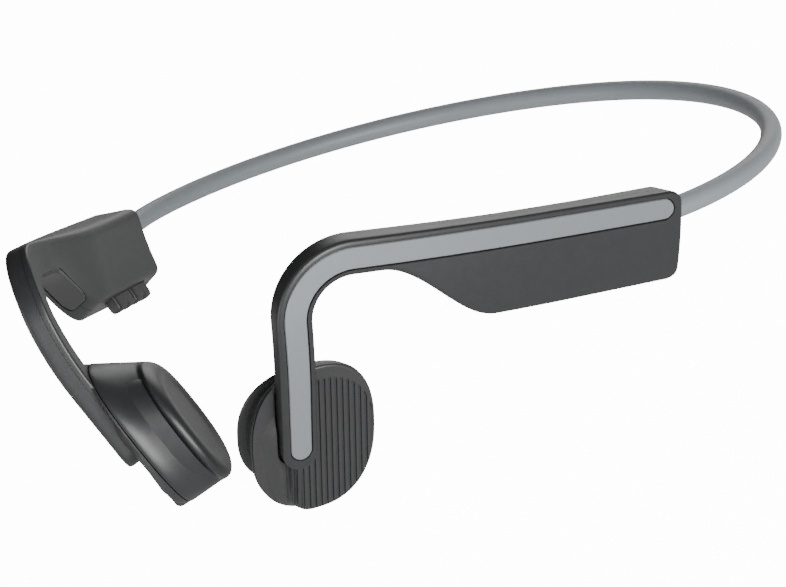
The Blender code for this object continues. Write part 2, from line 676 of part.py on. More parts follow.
def make_driver(side, frame, ceiling, parent, materials):
    """The yoke, magnet, pole plate, voice coil and spring plate, stacked along z."""
    steel, radius, back = materials["driver_steel"], DRIVER_RADIUS, YOKE_BACK
    bore, base, rim = radius - YOKE_WALL, back + YOKE_FLOOR, back + YOKE_HIGH
    make_object(f"{side}_yoke",
                turned(frame, [(0.0, back), (radius, back), (radius, rim), (bore, rim),
                               (bore, base), (0.0, base)]), steel, parent)
    magnet_low = base + GAP
    magnet_high = magnet_low + MAGNET_THICK
    make_object(f"{side}_magnet", disc(frame, MAGNET_RADIUS, magnet_low, magnet_high), steel, parent)
    pole_low = magnet_high + GAP
    make_object(f"{side}_pole_plate",
                disc(frame, MAGNET_RADIUS, pole_low, pole_low + POLE_THICK), steel, parent)
    inner, outer = MAGNET_RADIUS + GAP, bore - GAP
    coil_low, coil_high = base + 2.0 * GAP, rim - GAP
    make_object(f"{side}_voice_coil",
                turned(frame, [(inner, coil_low), (outer, coil_low), (outer, coil_high),
                               (inner, coil_high)]), materials["coil_copper"], parent)
    low = rim + GAP
    high = min(low + SPRING_THICK, ceiling - GAP)
    hole = radius - SPRING_RING
    make_object(f"{side}_spring_plate",
                turned(frame, [(hole, low), (radius, low), (radius, high), (hole, high)]),
                steel, parent)


def make_button_switch(frame, parent, materials, housing):
    """The switch under the left plate, in a pocket of the housing's floor."""
    low = FACE_LEVEL + PLATE_THICK + PLATE_TRAVEL + GAP
    side, high = SWITCH_SIZE
    hollow(housing, block(frame, (side + 2 * GAP, side + 2 * GAP, 2.0 * (high + GAP)),
                          (*SWITCH_PLACE, low)))
    make_object("multifunction_switch",
                block(frame, (side, side, high), (*SWITCH_PLACE, low + high / 2.0)),
                materials["part_plastic"], parent)


def make_microphone(frame, parent, materials, cover):
    """The microphone in the lower edge of the right cover, and its sound hole."""
    spot = frame.moved(*MICROPHONE_PLACE)
    cut(cover, block(spot, (MICROPHONE_SIZE[0] + 2 * GAP, 5.0, MICROPHONE_SIZE[2] + 2 * GAP)))
    make_object("microphone", block(spot, MICROPHONE_SIZE), materials["part_plastic"], parent)


# ---------------------------------------------------------------- pod contents and controls

def make_left_contents(parent, materials):
    """The battery cell and its protection board."""
    frame = Frame(path_point, 1.0, BATTERY_RUN, POD_MIDDLE, 0.0)
    deep = FACE_WALL + GAP + BATTERY[2] / 2.0
    make_object("battery_cell", block(frame, BATTERY, (0.0, 0.0, deep)), materials["battery_foil"],
                parent)
    edge = BATTERY[0] / 2.0 + GAP + BOARD_THICK / 2.0
    make_object("battery_board", block(frame, (BOARD_THICK, BATTERY[1] - 1.0, BATTERY[2] - 1.0),
                                       (edge, 0.0, deep)), materials["circuit_green"], parent)


def make_right_contents(parent, materials):
    """The main board and the screening can of its radio."""
    frame = Frame(path_point, -1.0, BATTERY_RUN, POD_MIDDLE, 0.0)
    deep = FACE_WALL + GAP + BOARD_THICK / 2.0
    make_object("main_board", block(frame, (*BOARD_SIZE, BOARD_THICK), (0.0, 0.0, deep)),
                materials["circuit_green"], parent)
    can = deep + BOARD_THICK / 2.0 + GAP
    make_object("radio_shield", block(frame, SHIELD_SIZE, (0.0, 0.0, can + SHIELD_SIZE[2] / 2.0)),
                materials["driver_steel"], parent)


def lower_edge(d):
    """Height across the path of the pod's lower edge."""
    return section_corners(d, 0.0)[3][0]


def make_volume_button(name, run, parent, materials, shells):
    """A two-ridged button under the right pod, its slot, and its switch."""
    frame = Frame(path_point, -1.0, run, lower_edge(run), BUTTON_DEEP)
    length, width = BUTTON_LENGTH, BUTTON_WIDTH
    for shell in shells.values():
        cut(shell, block(frame, (length + 2 * GAP, 6.0, width + 2 * GAP)))
    root = make_joint_empty(f"press_{name}", parent, frame)
    top = WALL + GAP
    button = make_object(name, block(frame, (length, BUTTON_PROUD + top, width),
                                     (0.0, (top - BUTTON_PROUD) / 2.0, 0.0)),
                         materials["cover_black"], root, frame.origin)
    cut(button, block(frame, (RIDGE_GROOVE, 2.0 * RIDGE_GROOVE, width + 2.0),
                      (0.0, -BUTTON_PROUD, 0.0)))
    low = top + BUTTON_TRAVEL + GAP
    make_object(f"{name}_switch", block(frame, (3.0, 1.2, width - GAP), (0.0, low + 0.6, 0.0)),
                materials["part_plastic"], parent)


def slope_frame(sign):
    """Axes on the slope under the pod's front: x forward along it, y into the pod, z inward."""
    ahead, behind = USB_RUN + 3.0, USB_RUN - 3.0
    rise = math.degrees(math.atan2(lower_edge(ahead) - lower_edge(behind), ahead - behind))
    return Frame(path_point, sign, USB_RUN, lower_edge(USB_RUN), 0.0).turned(rise)


def make_charging_port(sign, parent, materials, shells):
    """The charging socket in the right pod's slope, and the hinged rubber cover over it."""
    middle = PORT_DEEP
    frame = slope_frame(sign).moved(0.0, 0.0, middle)
    length, thin, depth = USB_SIZE
    mouth = COVER_THICK + 2.0 * GAP
    for shell in shells.values():
        cut(shell, block(frame, (length + 2 * GAP, 2.0 * (mouth + depth + GAP), thin + 2 * GAP)))
        cut(shell, block(frame, (COVER_LENGTH + 2 * GAP, 2.0 * (COVER_THICK + GAP),
                                 COVER_WIDTH + 2 * GAP)))
    socket = make_object("charging_socket", block(frame, (length, depth, thin),
                                                  (0.0, mouth + depth / 2.0, 0.0)),
                         materials["driver_steel"], parent)
    cut(socket, block(frame, (length - 0.6, 2.0 * (depth - 1.0), thin - 0.6), (0.0, mouth, 0.0)))
    tongue = (length - 2.2, depth - 2.0, 0.7)
    cut(socket, block(frame, tongue, (0.0, mouth + depth - 0.4 - tongue[1] / 2.0, 0.0)), "UNION")
    pivot = frame.moved(-COVER_LENGTH / 2.0, 0.0, 0.0)
    root = make_joint_empty("swing_port_cover", parent, pivot, "z")
    make_object("port_cover", block(frame, (COVER_LENGTH, COVER_THICK, COVER_WIDTH),
                                    (0.0, COVER_THICK / 2.0, 0.0)),
                materials["seal_rubber"], root, pivot.origin)


def make_joint_empty(name, parent, frame, axis="y"):
    """An empty on a joint's axis, with its own Z along that axis."""
    held = Vector(parent["worn_place"])
    empty = make_empty(name, parent, frame.origin - held)
    empty["worn_place"] = list(frame.origin)
    direction = frame.y if axis == "y" else frame.z
    empty["axis"] = list(direction)
    return empty


# ---------------------------------------------------------------- stance

def lay_down(stance):
    """Pitches and lifts the object until the band and the transducers touch z = 0."""
    bpy.context.view_layer.update()
    groups = {"front": [], "rear": []}
    for obj in bpy.data.objects:
        if obj.type == "MESH" and not obj.hide_render:
            group = "rear" if obj.name.startswith("neckband_rear") else "front"
            groups[group] += [obj.matrix_world @ vert.co for vert in obj.data.vertices]
    low, high = math.radians(-40.0), 0.0
    for _ in range(40):
        pitch = (low + high) / 2.0
        turn = Matrix.Rotation(pitch, 3, "X")
        lowest = {name: min((turn @ p).z for p in points) for name, points in groups.items()}
        low, high = (pitch, high) if lowest["front"] > lowest["rear"] else (low, pitch)
    places = [turn @ p for points in groups.values() for p in points]
    rears, floor = [p.y for p in places], min(p.z for p in places)
    stance.rotation_euler = (pitch, 0.0, 0.0)
    stance.location = (0.0, -(max(rears) + min(rears)) / 2.0, -floor)


def main():
    """Builds the headphones and lays them down on their resting points."""
    for obj in list(bpy.data.objects):
        bpy.data.objects.remove(obj, do_unlink=True)
    materials = make_materials()
    stance = make_empty("stance")
    sides = {}
    for side, sign in SIDES.items():
        place = flex_place(sign)
        sides[side] = make_empty(f"flex_{side}", stance, place)
        sides[side]["worn_place"] = list(place)
    make_neckband(materials, stance, sides)
    shells, frames, housings, covers = {}, {}, {}, {}
    for side, sign in SIDES.items():
        shells[side] = make_shells(side, sign, sides[side], materials)
        frames[side], housings[side], covers[side] = make_transducer(side, sign, sides[side], materials)
    make_button_switch(frames["left"], sides["left"], materials, housings["left"])
    make_left_contents(sides["left"], materials)
    make_microphone(frames["right"], sides["right"], materials, covers["right"])
    make_right_contents(sides["right"], materials)
    for name, run in BUTTON_RUNS.items():
        make_volume_button(name, run, sides["right"], materials, shells["right"])
    make_charging_port(-1.0, sides["right"], materials, shells["right"])
    lay_down(stance)


main()
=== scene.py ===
"""Visual model of bone conduction headphones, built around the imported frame.

Shapes are worked out in the attitude in which the headphones are worn, in millimetres: the origin
is the rear centre of the neckband, +X the wearer's left, -Y forward, +Z up. The class Stance then lays
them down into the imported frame, in metres. Each side is drawn on a curved outer sheet with places
(u, w, q): u forward, w up and q inward; the arm and pod follow a path on it with places (d, s, q).
"""
from __future__ import annotations

import json
import logging
import math
from collections.abc import Callable
from dataclasses import dataclass, field
from enum import Enum

import bmesh
import bpy
import numpy as np
from mathutils import Euler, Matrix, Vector


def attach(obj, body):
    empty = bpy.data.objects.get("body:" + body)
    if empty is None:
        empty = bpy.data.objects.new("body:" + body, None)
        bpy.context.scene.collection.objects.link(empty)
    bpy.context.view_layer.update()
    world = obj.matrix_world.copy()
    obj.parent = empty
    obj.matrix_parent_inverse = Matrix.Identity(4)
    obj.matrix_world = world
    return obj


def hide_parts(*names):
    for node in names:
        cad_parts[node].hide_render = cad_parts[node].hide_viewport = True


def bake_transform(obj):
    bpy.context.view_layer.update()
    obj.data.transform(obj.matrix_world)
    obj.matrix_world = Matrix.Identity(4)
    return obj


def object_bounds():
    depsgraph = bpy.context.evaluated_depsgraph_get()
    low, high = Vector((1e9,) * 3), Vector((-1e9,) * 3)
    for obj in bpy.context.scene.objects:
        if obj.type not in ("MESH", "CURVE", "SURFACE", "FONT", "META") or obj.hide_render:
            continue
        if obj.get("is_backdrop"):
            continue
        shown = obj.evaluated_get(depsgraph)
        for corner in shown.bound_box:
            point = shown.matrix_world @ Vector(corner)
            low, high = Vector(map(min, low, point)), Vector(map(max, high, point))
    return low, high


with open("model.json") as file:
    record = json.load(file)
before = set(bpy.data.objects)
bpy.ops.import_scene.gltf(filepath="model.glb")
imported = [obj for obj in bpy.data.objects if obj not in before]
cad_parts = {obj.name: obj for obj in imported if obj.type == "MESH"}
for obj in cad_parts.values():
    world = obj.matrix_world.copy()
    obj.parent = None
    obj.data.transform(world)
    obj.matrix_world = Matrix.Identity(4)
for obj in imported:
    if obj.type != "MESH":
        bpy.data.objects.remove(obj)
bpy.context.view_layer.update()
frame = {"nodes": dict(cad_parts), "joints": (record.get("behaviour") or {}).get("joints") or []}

LOG = logging.getLogger("headphones")
MM = 0.001
SHARP = math.radians(34.0)  # edges that turn by more than this stay sharp
WELD = 2e-7  # points closer than this, in metres, are made one
MOST_REACH = 0.48  # the share of a section's side that a rounding may take up
CORNER_PULL = 0.24  # how strongly a rounding is drawn towards its corner
PlaceCall = Callable[..., np.ndarray]


class Side(Enum):
    """A side of the wearer; the value is the sign of its X axis."""

    LEFT = 1.0
    RIGHT = -1.0

    @property
    def word(self) -> str:
        """The side's name as the frame's nodes spell it."""
        return self.name.lower()

    @property
    def body(self) -> str:
        """The body that carries this side."""
        return f"{self.word}_side"


# ------------------------------------------------------------------------------------ arithmetic


def smooth(value: np.ndarray | float, low: float, high: float) -> np.ndarray | float:
    """0 below low, 1 above high, and 3t^2 - 2t^3 between them."""
    t = np.clip((np.asarray(value, float) - low) / (high - low), 0.0, 1.0)
    return t * t * (3.0 - 2.0 * t)


def bump(value: np.ndarray, centre: float, width: float) -> np.ndarray:
    """A bell, exp(-((value - centre) / width)^2)."""
    return np.exp(-(((value - centre) / width) ** 2))


def round_in(distance: np.ndarray | float, radius: float) -> np.ndarray | float:
    """How far a quarter-round edge of that radius falls back at a distance from its rim."""
    near = radius - np.clip(distance, 0.0, radius)
    return radius - np.sqrt(np.maximum(radius * radius - near * near, 0.0))


def quarter_steps(radius: float, count: int) -> np.ndarray:
    """Distances from a rounded rim, radius * (1 - cos a), that step evenly round the quarter."""
    angles = np.linspace(0.0, math.pi / 2.0, count)
    return radius * (1.0 - np.cos(angles))


def unit(vectors: np.ndarray) -> np.ndarray:
    """Vectors of length 1 along the last axis."""
    return vectors / np.linalg.norm(vectors, axis=-1, keepdims=True)


def bezier(points: list[np.ndarray], t: np.ndarray) -> np.ndarray:
    """A cubic Bezier curve, the sum of binomial(3, i) t^i (1 - t)^(3 - i) times the points."""
    t = t[:, None]
    weights = [(1 - t) ** 3, 3 * t * (1 - t) ** 2, 3 * t * t * (1 - t), t ** 3]
    return sum(w * p[None, :] for w, p in zip(weights, points))


def fillet(before: np.ndarray, corner: np.ndarray, after: np.ndarray, reach: np.ndarray,
           count: int) -> np.ndarray:
    """Rounds the corners of many sections at once.

    Args:
        before: Corners that come before, one row (s, q) for each station.
        corner: The corners to round.
        after: Corners that come after.
        reach: How far along both sides the rounding starts, for each station.
        count: Points in the rounding.

    Returns:
        An array (station, count, 2): a quadratic curve from one side to the other.
    """
    back, ahead = before - corner, after - corner
    back_length = np.linalg.norm(back, axis=1)
    ahead_length = np.linalg.norm(ahead, axis=1)
    reach = np.minimum(reach, np.minimum(back_length, ahead_length) * MOST_REACH)[:, None]
    start = corner + back / back_length[:, None] * reach
    end = corner + ahead / ahead_length[:, None] * reach
    t = np.linspace(0.0, 1.0, count)[None, :, None]
    pull = CORNER_PULL * reach[:, None, :] * t * (1 - t)
    middle = corner[:, None, :]
    curve = start[:, None, :] * (1 - t) ** 2 + 2 * t * (1 - t) * middle + end[:, None, :] * t ** 2
    return curve + (middle - curve) * pull


def between(start: np.ndarray, end: np.ndarray, shares: np.ndarray) -> np.ndarray:
    """Points at the given shares of the way from start to end, for each station."""
    return start[:, None, :] + (end - start)[:, None, :] * shares[None, :, None]


# ------------------------------------------------------------------------------------ places


@dataclass(frozen=True)
class Sheet:
    """The curved outer sheet that one side is drawn on."""

    rear: tuple[float, float] = (63.54, -74.43)
    heading: float = 26.45
    turn: float = 13.2
    turn_from: float = 28.0
    turn_to: float = 76.0
    lean_high: float = 11.0
    lean_low: float = 25.0
    lean_from: float = 4.6
    lean_to: float = -11.0

    def headings(self, u: np.ndarray) -> np.ndarray:
        """Heading in plan at each run, in radians: even, then a turn at an even rate."""
        share = np.clip((u - self.turn_from) / (self.turn_to - self.turn_from), 0.0, 1.0)
        return np.radians(self.heading + self.turn * share)

    def leans(self, w: np.ndarray) -> np.ndarray:
        """Lean from upright at each height, in radians: even, then a bend at an even rate."""
        share = np.clip((self.lean_from - w) / (self.lean_from - self.lean_to), 0.0, 1.0)
        return np.radians(self.lean_high + (self.lean_low - self.lean_high) * share)

    def point(self, side: Side, u: np.ndarray, w: np.ndarray, q: np.ndarray) -> np.ndarray:
        """The places (u, w, q) of a side.

        The plan line is the integral of its heading, the upright line is the integral of its
        lean, and q goes inward along the sheet's normal.

        Args:
            side: The side of the wearer.
            u: Runs forward.
            w: Heights up the sheet.
            q: Depths inward; the three have one shape between them.

        Returns:
            Worn-frame places with a last axis of 3.
        """
        u, w, q = np.broadcast_arrays(np.asarray(u, float), np.asarray(w, float),
                                      np.asarray(q, float))
        plan_x = self.rear[0] - self._sum(np.sin(self.headings(STEPS)), u)
        plan_y = self.rear[1] - self._sum(np.cos(self.headings(STEPS)), u)
        inward = -self._sum(np.sin(self.leans(STEPS)), w)
        up = self._sum(np.cos(self.leans(STEPS)), w)
        heading, lean = self.headings(u), self.leans(w)
        level = np.stack([np.cos(heading), -np.sin(heading), np.zeros_like(heading)], axis=-1)
        normal = level * np.cos(lean)[..., None]
        normal[..., 2] -= np.sin(lean)
        place = np.stack([plan_x, plan_y, up], axis=-1) - level * inward[..., None]
        place = place - normal * q[..., None]
        place[..., 0] *= side.value
        return place

    @staticmethod
    def _sum(rates: np.ndarray, at: np.ndarray) -> np.ndarray:
        """The integral of rates given over STEPS, zero at 0, read at other places."""
        parts = (rates[1:] + rates[:-1]) / 2.0 * np.diff(STEPS)
        total = np.concatenate(([0.0], np.cumsum(parts)))
        return np.interp(at, STEPS, total - np.interp(0.0, STEPS, total))


STEPS = np.linspace(-60.0, 120.0, 1801)
SHEET = Sheet()


@dataclass(frozen=True)
class ArmPath:
    """The arm's path on the sheet: a straight rise, one hook arc and a drop."""

    start: tuple[float, float] = (3.0, 0.28)
    rise: float = 9.6
    drop: float = 85.5
    radius: float = 9.4
    corner_run: float = 69.5
    drop_length: float = 38.2
    rear_tilt: float = 3.3
    tilt_to: float = 34.0

    @property
    def turn(self) -> float:
        """The hook's whole turn, in degrees."""
        return self.rise + self.drop

    @property
    def tangent(self) -> float:
        """Distance from the corner of the two straights to either end of the arc."""
        return self.radius * math.tan(math.radians(self.turn / 2.0))

    @property
    def hook_start(self) -> float:
        """Distance at which the arc starts."""
        return self.corner_run - self.tangent

    @property
    def hook_end(self) -> float:
        """Distance at which the arc ends."""
        return self.hook_start + self.radius * math.radians(self.turn)

    @property
    def end(self) -> float:
        """Distance of the tongue's tip."""
        return self.hook_end + self.drop_length - self.tangent

    def angles(self, d: np.ndarray) -> np.ndarray:
        """Heading above level at each distance, in radians."""
        share = np.clip((d - self.hook_start) / (self.hook_end - self.hook_start), 0.0, 1.0)
        return np.radians(self.rise - self.turn * share)

    def place(self, d: np.ndarray) -> tuple[np.ndarray, np.ndarray]:
        """Where the path has got to on the sheet, (u, w): a line, an arc and a line."""
        rise, drop = math.radians(self.rise), math.radians(-self.drop)
        straight = np.minimum(d, self.hook_start)
        angle = self.angles(d)
        u = self.start[0] + straight * math.cos(rise) + self.radius * (math.sin(rise) - np.sin(angle))
        w = self.start[1] + straight * math.sin(rise) + self.radius * (np.cos(angle) - math.cos(rise))
        past = np.maximum(d - self.hook_end, 0.0)
        return u + past * math.cos(drop), w + past * math.sin(drop)

    def point(self, side: Side, d: np.ndarray, s: np.ndarray, q: np.ndarray) -> np.ndarray:
        """The places (d, s, q) of a side: s goes across the path, upright at the pod's rear."""
        d, s, q = np.broadcast_arrays(np.asarray(d, float), np.asarray(s, float),
                                      np.asarray(q, float))
        u, w = self.place(d)
        eased = np.radians(self.rear_tilt + (self.rise - self.rear_tilt) * smooth(d, 0, self.tilt_to))
        across = np.where(d < self.hook_start, eased, self.angles(d))
        return SHEET.point(side, u - s * np.sin(across), w + s * np.cos(across), q)


PATH = ArmPath()


class Axes:
    """Flat local axes at a place: x forward, y across and z inward; mirrored on the right."""

    def __init__(self, origin: np.ndarray, x: np.ndarray, y: np.ndarray, z: np.ndarray) -> None:
        """Keeps the origin and the three unit vectors."""
        self.origin, self.x, self.y, self.z = origin, x, y, z

    @classmethod
    def at(cls, place: PlaceCall, side: Side, a: float, b: float, q: float) -> Axes:
        """Axes at a place of the sheet or the path.

        Args:
            place: SHEET.point or PATH.point.
            side: The side of the wearer.
            a: First coordinate of the place.
            b: Second coordinate.
            q: Depth inward.

        Returns:
            The axes, with z inward, x along the first coordinate and y along the second.
        """
        step = 0.5
        origin = place(side, a, b, q)
        z = unit(place(side, a, b, q + step) - origin)
        along = place(side, a + step, b, q) - place(side, a - step, b, q)
        x = unit(along - z * (along @ z))
        y = np.cross(z, x) * side.value
        y = -y if y @ (place(side, a, b + step, q) - origin) < 0.0 else y
        return cls(origin, x, y, z)

    def point(self, x: np.ndarray, y: np.ndarray, z: np.ndarray) -> np.ndarray:
        """Worn-frame places of local ones."""
        x, y, z = np.broadcast_arrays(*(np.asarray(v, float) for v in (x, y, z)))
        return self.origin + x[..., None] * self.x + y[..., None] * self.y + z[..., None] * self.z

    def turned(self, degrees: float) -> Axes:
        """The same place with x turned towards y."""
        angle = math.radians(degrees)
        return Axes(self.origin, self.x * math.cos(angle) + self.y * math.sin(angle),
                    self.y * math.cos(angle) - self.x * math.sin(angle), self.z)

    def moved(self, x: float, y: float, z: float) -> Axes:
        """The same axes at another place."""
        return Axes(self.point(x, y, z), self.x, self.y, self.z)


@dataclass(frozen=True)
class BandLine:
    """The neckband's centre line: one curve round the neck and one into each pod."""

    widest: tuple[float, float] = (61.5, -59.4)
    rear_handle: float = 32.5
    side_handle: float = 30.0
    end_handle: float = 6.0
    radius: float = 1.9
    split: float = 28.0
    sag: float = 0.75
    depth: float = 4.5
    entry: float = 4.2

    def line(self, side: Side) -> np.ndarray:
        """Close points from the rear centre into the pod: two cubic Bezier curves, sagging in an S."""
        widest = np.array([*self.widest, 0.0])
        end = SHEET.point(Side.LEFT, self.entry, 0.0, self.depth)
        heading = math.radians(SHEET.heading)
        into = np.array([-math.sin(heading), -math.cos(heading), 0.0])
        ahead = np.array([0.0, 1.0, 0.0])
        rear = bezier([np.zeros(3), np.array([self.rear_handle, 0, 0]),
                       widest + ahead * self.side_handle, widest], np.linspace(0, 1, 400))
        front = bezier([widest, widest - ahead * self.end_handle, end - into * self.end_handle, end],
                       np.linspace(0, 1, 100))
        points = np.concatenate([rear, front[1:]])
        points[:, 2] = -self.sag * smooth(-points[:, 1], 0.0, -self.widest[1])
        points[:, 0] *= side.value
        return points

    def stations(self, side: Side, runs: np.ndarray | None, count: int = 0
                 ) -> tuple[np.ndarray, np.ndarray]:
        """Places and headings at distances from the rear centre.

        Args:
            side: The side of the wearer.
            runs: The distances, or None for an even spacing of the whole half.
            count: Number of stations when runs is None.

        Returns:
            Two arrays (station, 3): the places, and unit headings away from the rear centre.
        """
        points = self.line(side)
        lengths = np.linalg.norm(np.diff(points, axis=0), axis=1)
        total = np.concatenate(([0.0], np.cumsum(lengths)))
        runs = np.linspace(0.0, total[-1], count) if runs is None else runs
        read = [np.stack([np.interp(runs + shift, total, points[:, k]) for k in range(3)], axis=1)
                for shift in (0.0, -0.4, 0.4)]
        heading = read[2] - read[1]
        heading[runs < 0.4] = (side.value, 0.0, 0.0)
        return read[0], unit(heading)


BAND = BandLine()


class Stance:
    """How the worn headphones are laid down: a pitch about X and a shift, read from the frame."""

    hinge_offset: float = 0.1

    def __init__(self) -> None:
        """Reads the pitch from the flex hinge's axis and the shift from its place."""
        hinge = next(j for j in frame["joints"] if j["name"] == "flex_left")
        axis, place = np.array(hinge["axis"]), np.array(hinge["pos_m"]) / MM
        self.turn = np.array([[1.0, 0.0, 0.0], [0.0, axis[2], axis[1]], [0.0, -axis[1], axis[2]]])
        here, heading = BAND.stations(Side.LEFT, np.array([BAND.split]))
        outward = np.cross([0.0, 0.0, 1.0], heading[0])
        outward = outward if outward[0] > 0.0 else -outward
        worn = here[0] + outward * (BAND.radius + self.hinge_offset)
        self.shift = place - self.turn @ worn

    def lay(self, points: np.ndarray) -> np.ndarray:
        """Packed-frame places, in metres, of worn-frame places in millimetres."""
        return (points @ self.turn.T + self.shift) * MM


STANCE = Stance()


# ------------------------------------------------------------------------------------ meshes


class Surface:
    """A closed surface gathered from grids, then turned into a mesh."""

    def __init__(self, name: str) -> None:
        """Starts an empty surface."""
        self.name = name
        self.places: list[np.ndarray] = []
        self.quads: list[np.ndarray] = []
        self.tris: list[np.ndarray] = [np.zeros((0, 3), int)]
        self.count = 0

    def _add(self, places: np.ndarray) -> np.ndarray:
        """Adds a grid of places and returns their numbers, in the grid's shape."""
        numbers = self.count + np.arange(places[..., 0].size).reshape(places.shape[:-1])
        self.places.append(places.reshape(-1, 3))
        self.count += numbers.size
        return numbers

    def tube(self, grid: np.ndarray) -> None:
        """A closed tube: the rings of grid (station, corner, 3), with a pole at each end.

        The pole is the mean of the end ring, joined to it by a fan.

        Args:
            grid: Places of every ring.
        """
        index = self._add(grid)
        after = np.roll(index, -1, axis=1)
        walls = np.stack([index[:-1], after[:-1], after[1:], index[1:]], axis=-1)
        self.quads.append(walls.reshape(-1, 4))
        for end, order in ((0, 1), (-1, -1)):
            tip = self._add(grid[end].mean(axis=0)[None])
            fan = np.stack([np.repeat(tip, grid.shape[1]), after[end], index[end]], axis=-1)
            self.tris.append(fan[:, ::order])

    def sandwich(self, top: np.ndarray, bottom: np.ndarray) -> None:
        """A plate from two grids of one shape, whose rims are joined all round.

        Args:
            top: Places of the upper skin, (column, row, 3).
            bottom: Places of the lower skin.
        """
        upper, lower = self._add(top), self._add(bottom)
        for index, order in ((upper, 1), (lower, -1)):
            skin = np.stack([index[:-1, :-1], index[1:, :-1], index[1:, 1:], index[:-1, 1:]], axis=-1)
            self.quads.append(skin.reshape(-1, 4)[:, ::order])
        rim = [np.concatenate([grid[:, 0], grid[-1, 1:], grid[-2::-1, -1], grid[0, -2:0:-1]])
               for grid in (upper, lower)]
        after = [np.roll(edge, -1) for edge in rim]
        self.quads.append(np.stack([rim[1], after[1], after[0], rim[0]], axis=-1))

    def _mesh(self) -> bpy.types.Mesh:
        """The mesh, its faces outwards and points that have fallen together made one.

        The faces are turned by the sign of the volume, the sum of a . (b x c) over triangles abc.
        """
        places = STANCE.lay(np.concatenate(self.places))
        quads, tris = np.concatenate(self.quads), np.concatenate(self.tris)
        split = np.concatenate([quads[:, :3], quads[:, [0, 2, 3]], tris])
        a, b, c = (places[split[:, k]] for k in range(3))
        if np.einsum("ij,ij->i", a, np.cross(b, c)).sum() < 0.0:
            quads, tris = quads[:, ::-1], tris[:, ::-1]
        mesh = bpy.data.meshes.new(self.name)
        loops = np.concatenate([quads.reshape(-1), tris.reshape(-1)]).astype(np.int32)
        sizes = np.concatenate([np.full(len(quads), 4), np.full(len(tris), 3)])
        starts = np.concatenate(([0], np.cumsum(sizes)[:-1])).astype(np.int32)
        mesh.vertices.add(len(places))
        mesh.vertices.foreach_set("co", places.astype(np.float32).reshape(-1))
        mesh.loops.add(len(loops))
        mesh.loops.foreach_set("vertex_index", loops)
        mesh.polygons.add(len(sizes))
        mesh.polygons.foreach_set("loop_start", starts)
        mesh.update(calc_edges=True)
        mesh.validate()
        weld = bmesh.new()
        weld.from_mesh(mesh)
        bmesh.ops.remove_doubles(weld, verts=weld.verts, dist=WELD)
        weld.to_mesh(mesh)
        weld.free()
        mesh.shade_smooth()
        mesh.set_sharp_from_angle(angle=SHARP)
        return mesh

    def build(self, body: str | None, finish: Finish, nodes: tuple[str, ...] = ()
              ) -> bpy.types.Object:
        """Makes the mesh and its object.

        Args:
            body: Body that it rides on, or None to leave it on no body.
            finish: Its finish.
            nodes: Frame nodes that it stands for.

        Returns:
            The finished object.
        """
        mesh = self._mesh()
        mesh.materials.append(finish.material())
        obj = bpy.data.objects.new(self.name, mesh)
        bpy.context.scene.collection.objects.link(obj)
        if body:
            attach(obj, body)
        if nodes:
            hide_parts(*nodes)
        LOG.info("%s: %d faces on %s, %s", self.name, len(mesh.polygons), body, finish.slot)
        return obj


# ------------------------------------------------------------------------------------ finishes


class Grain(Enum):
    """How a finish's fine pattern is laid out."""

    MOULDED = "moulded"
    SILICONE = "silicone"
    BRUSHED = "brushed"
    WOUND = "wound"
    BOARD = "board"
    CRUMPLED = "crumpled"


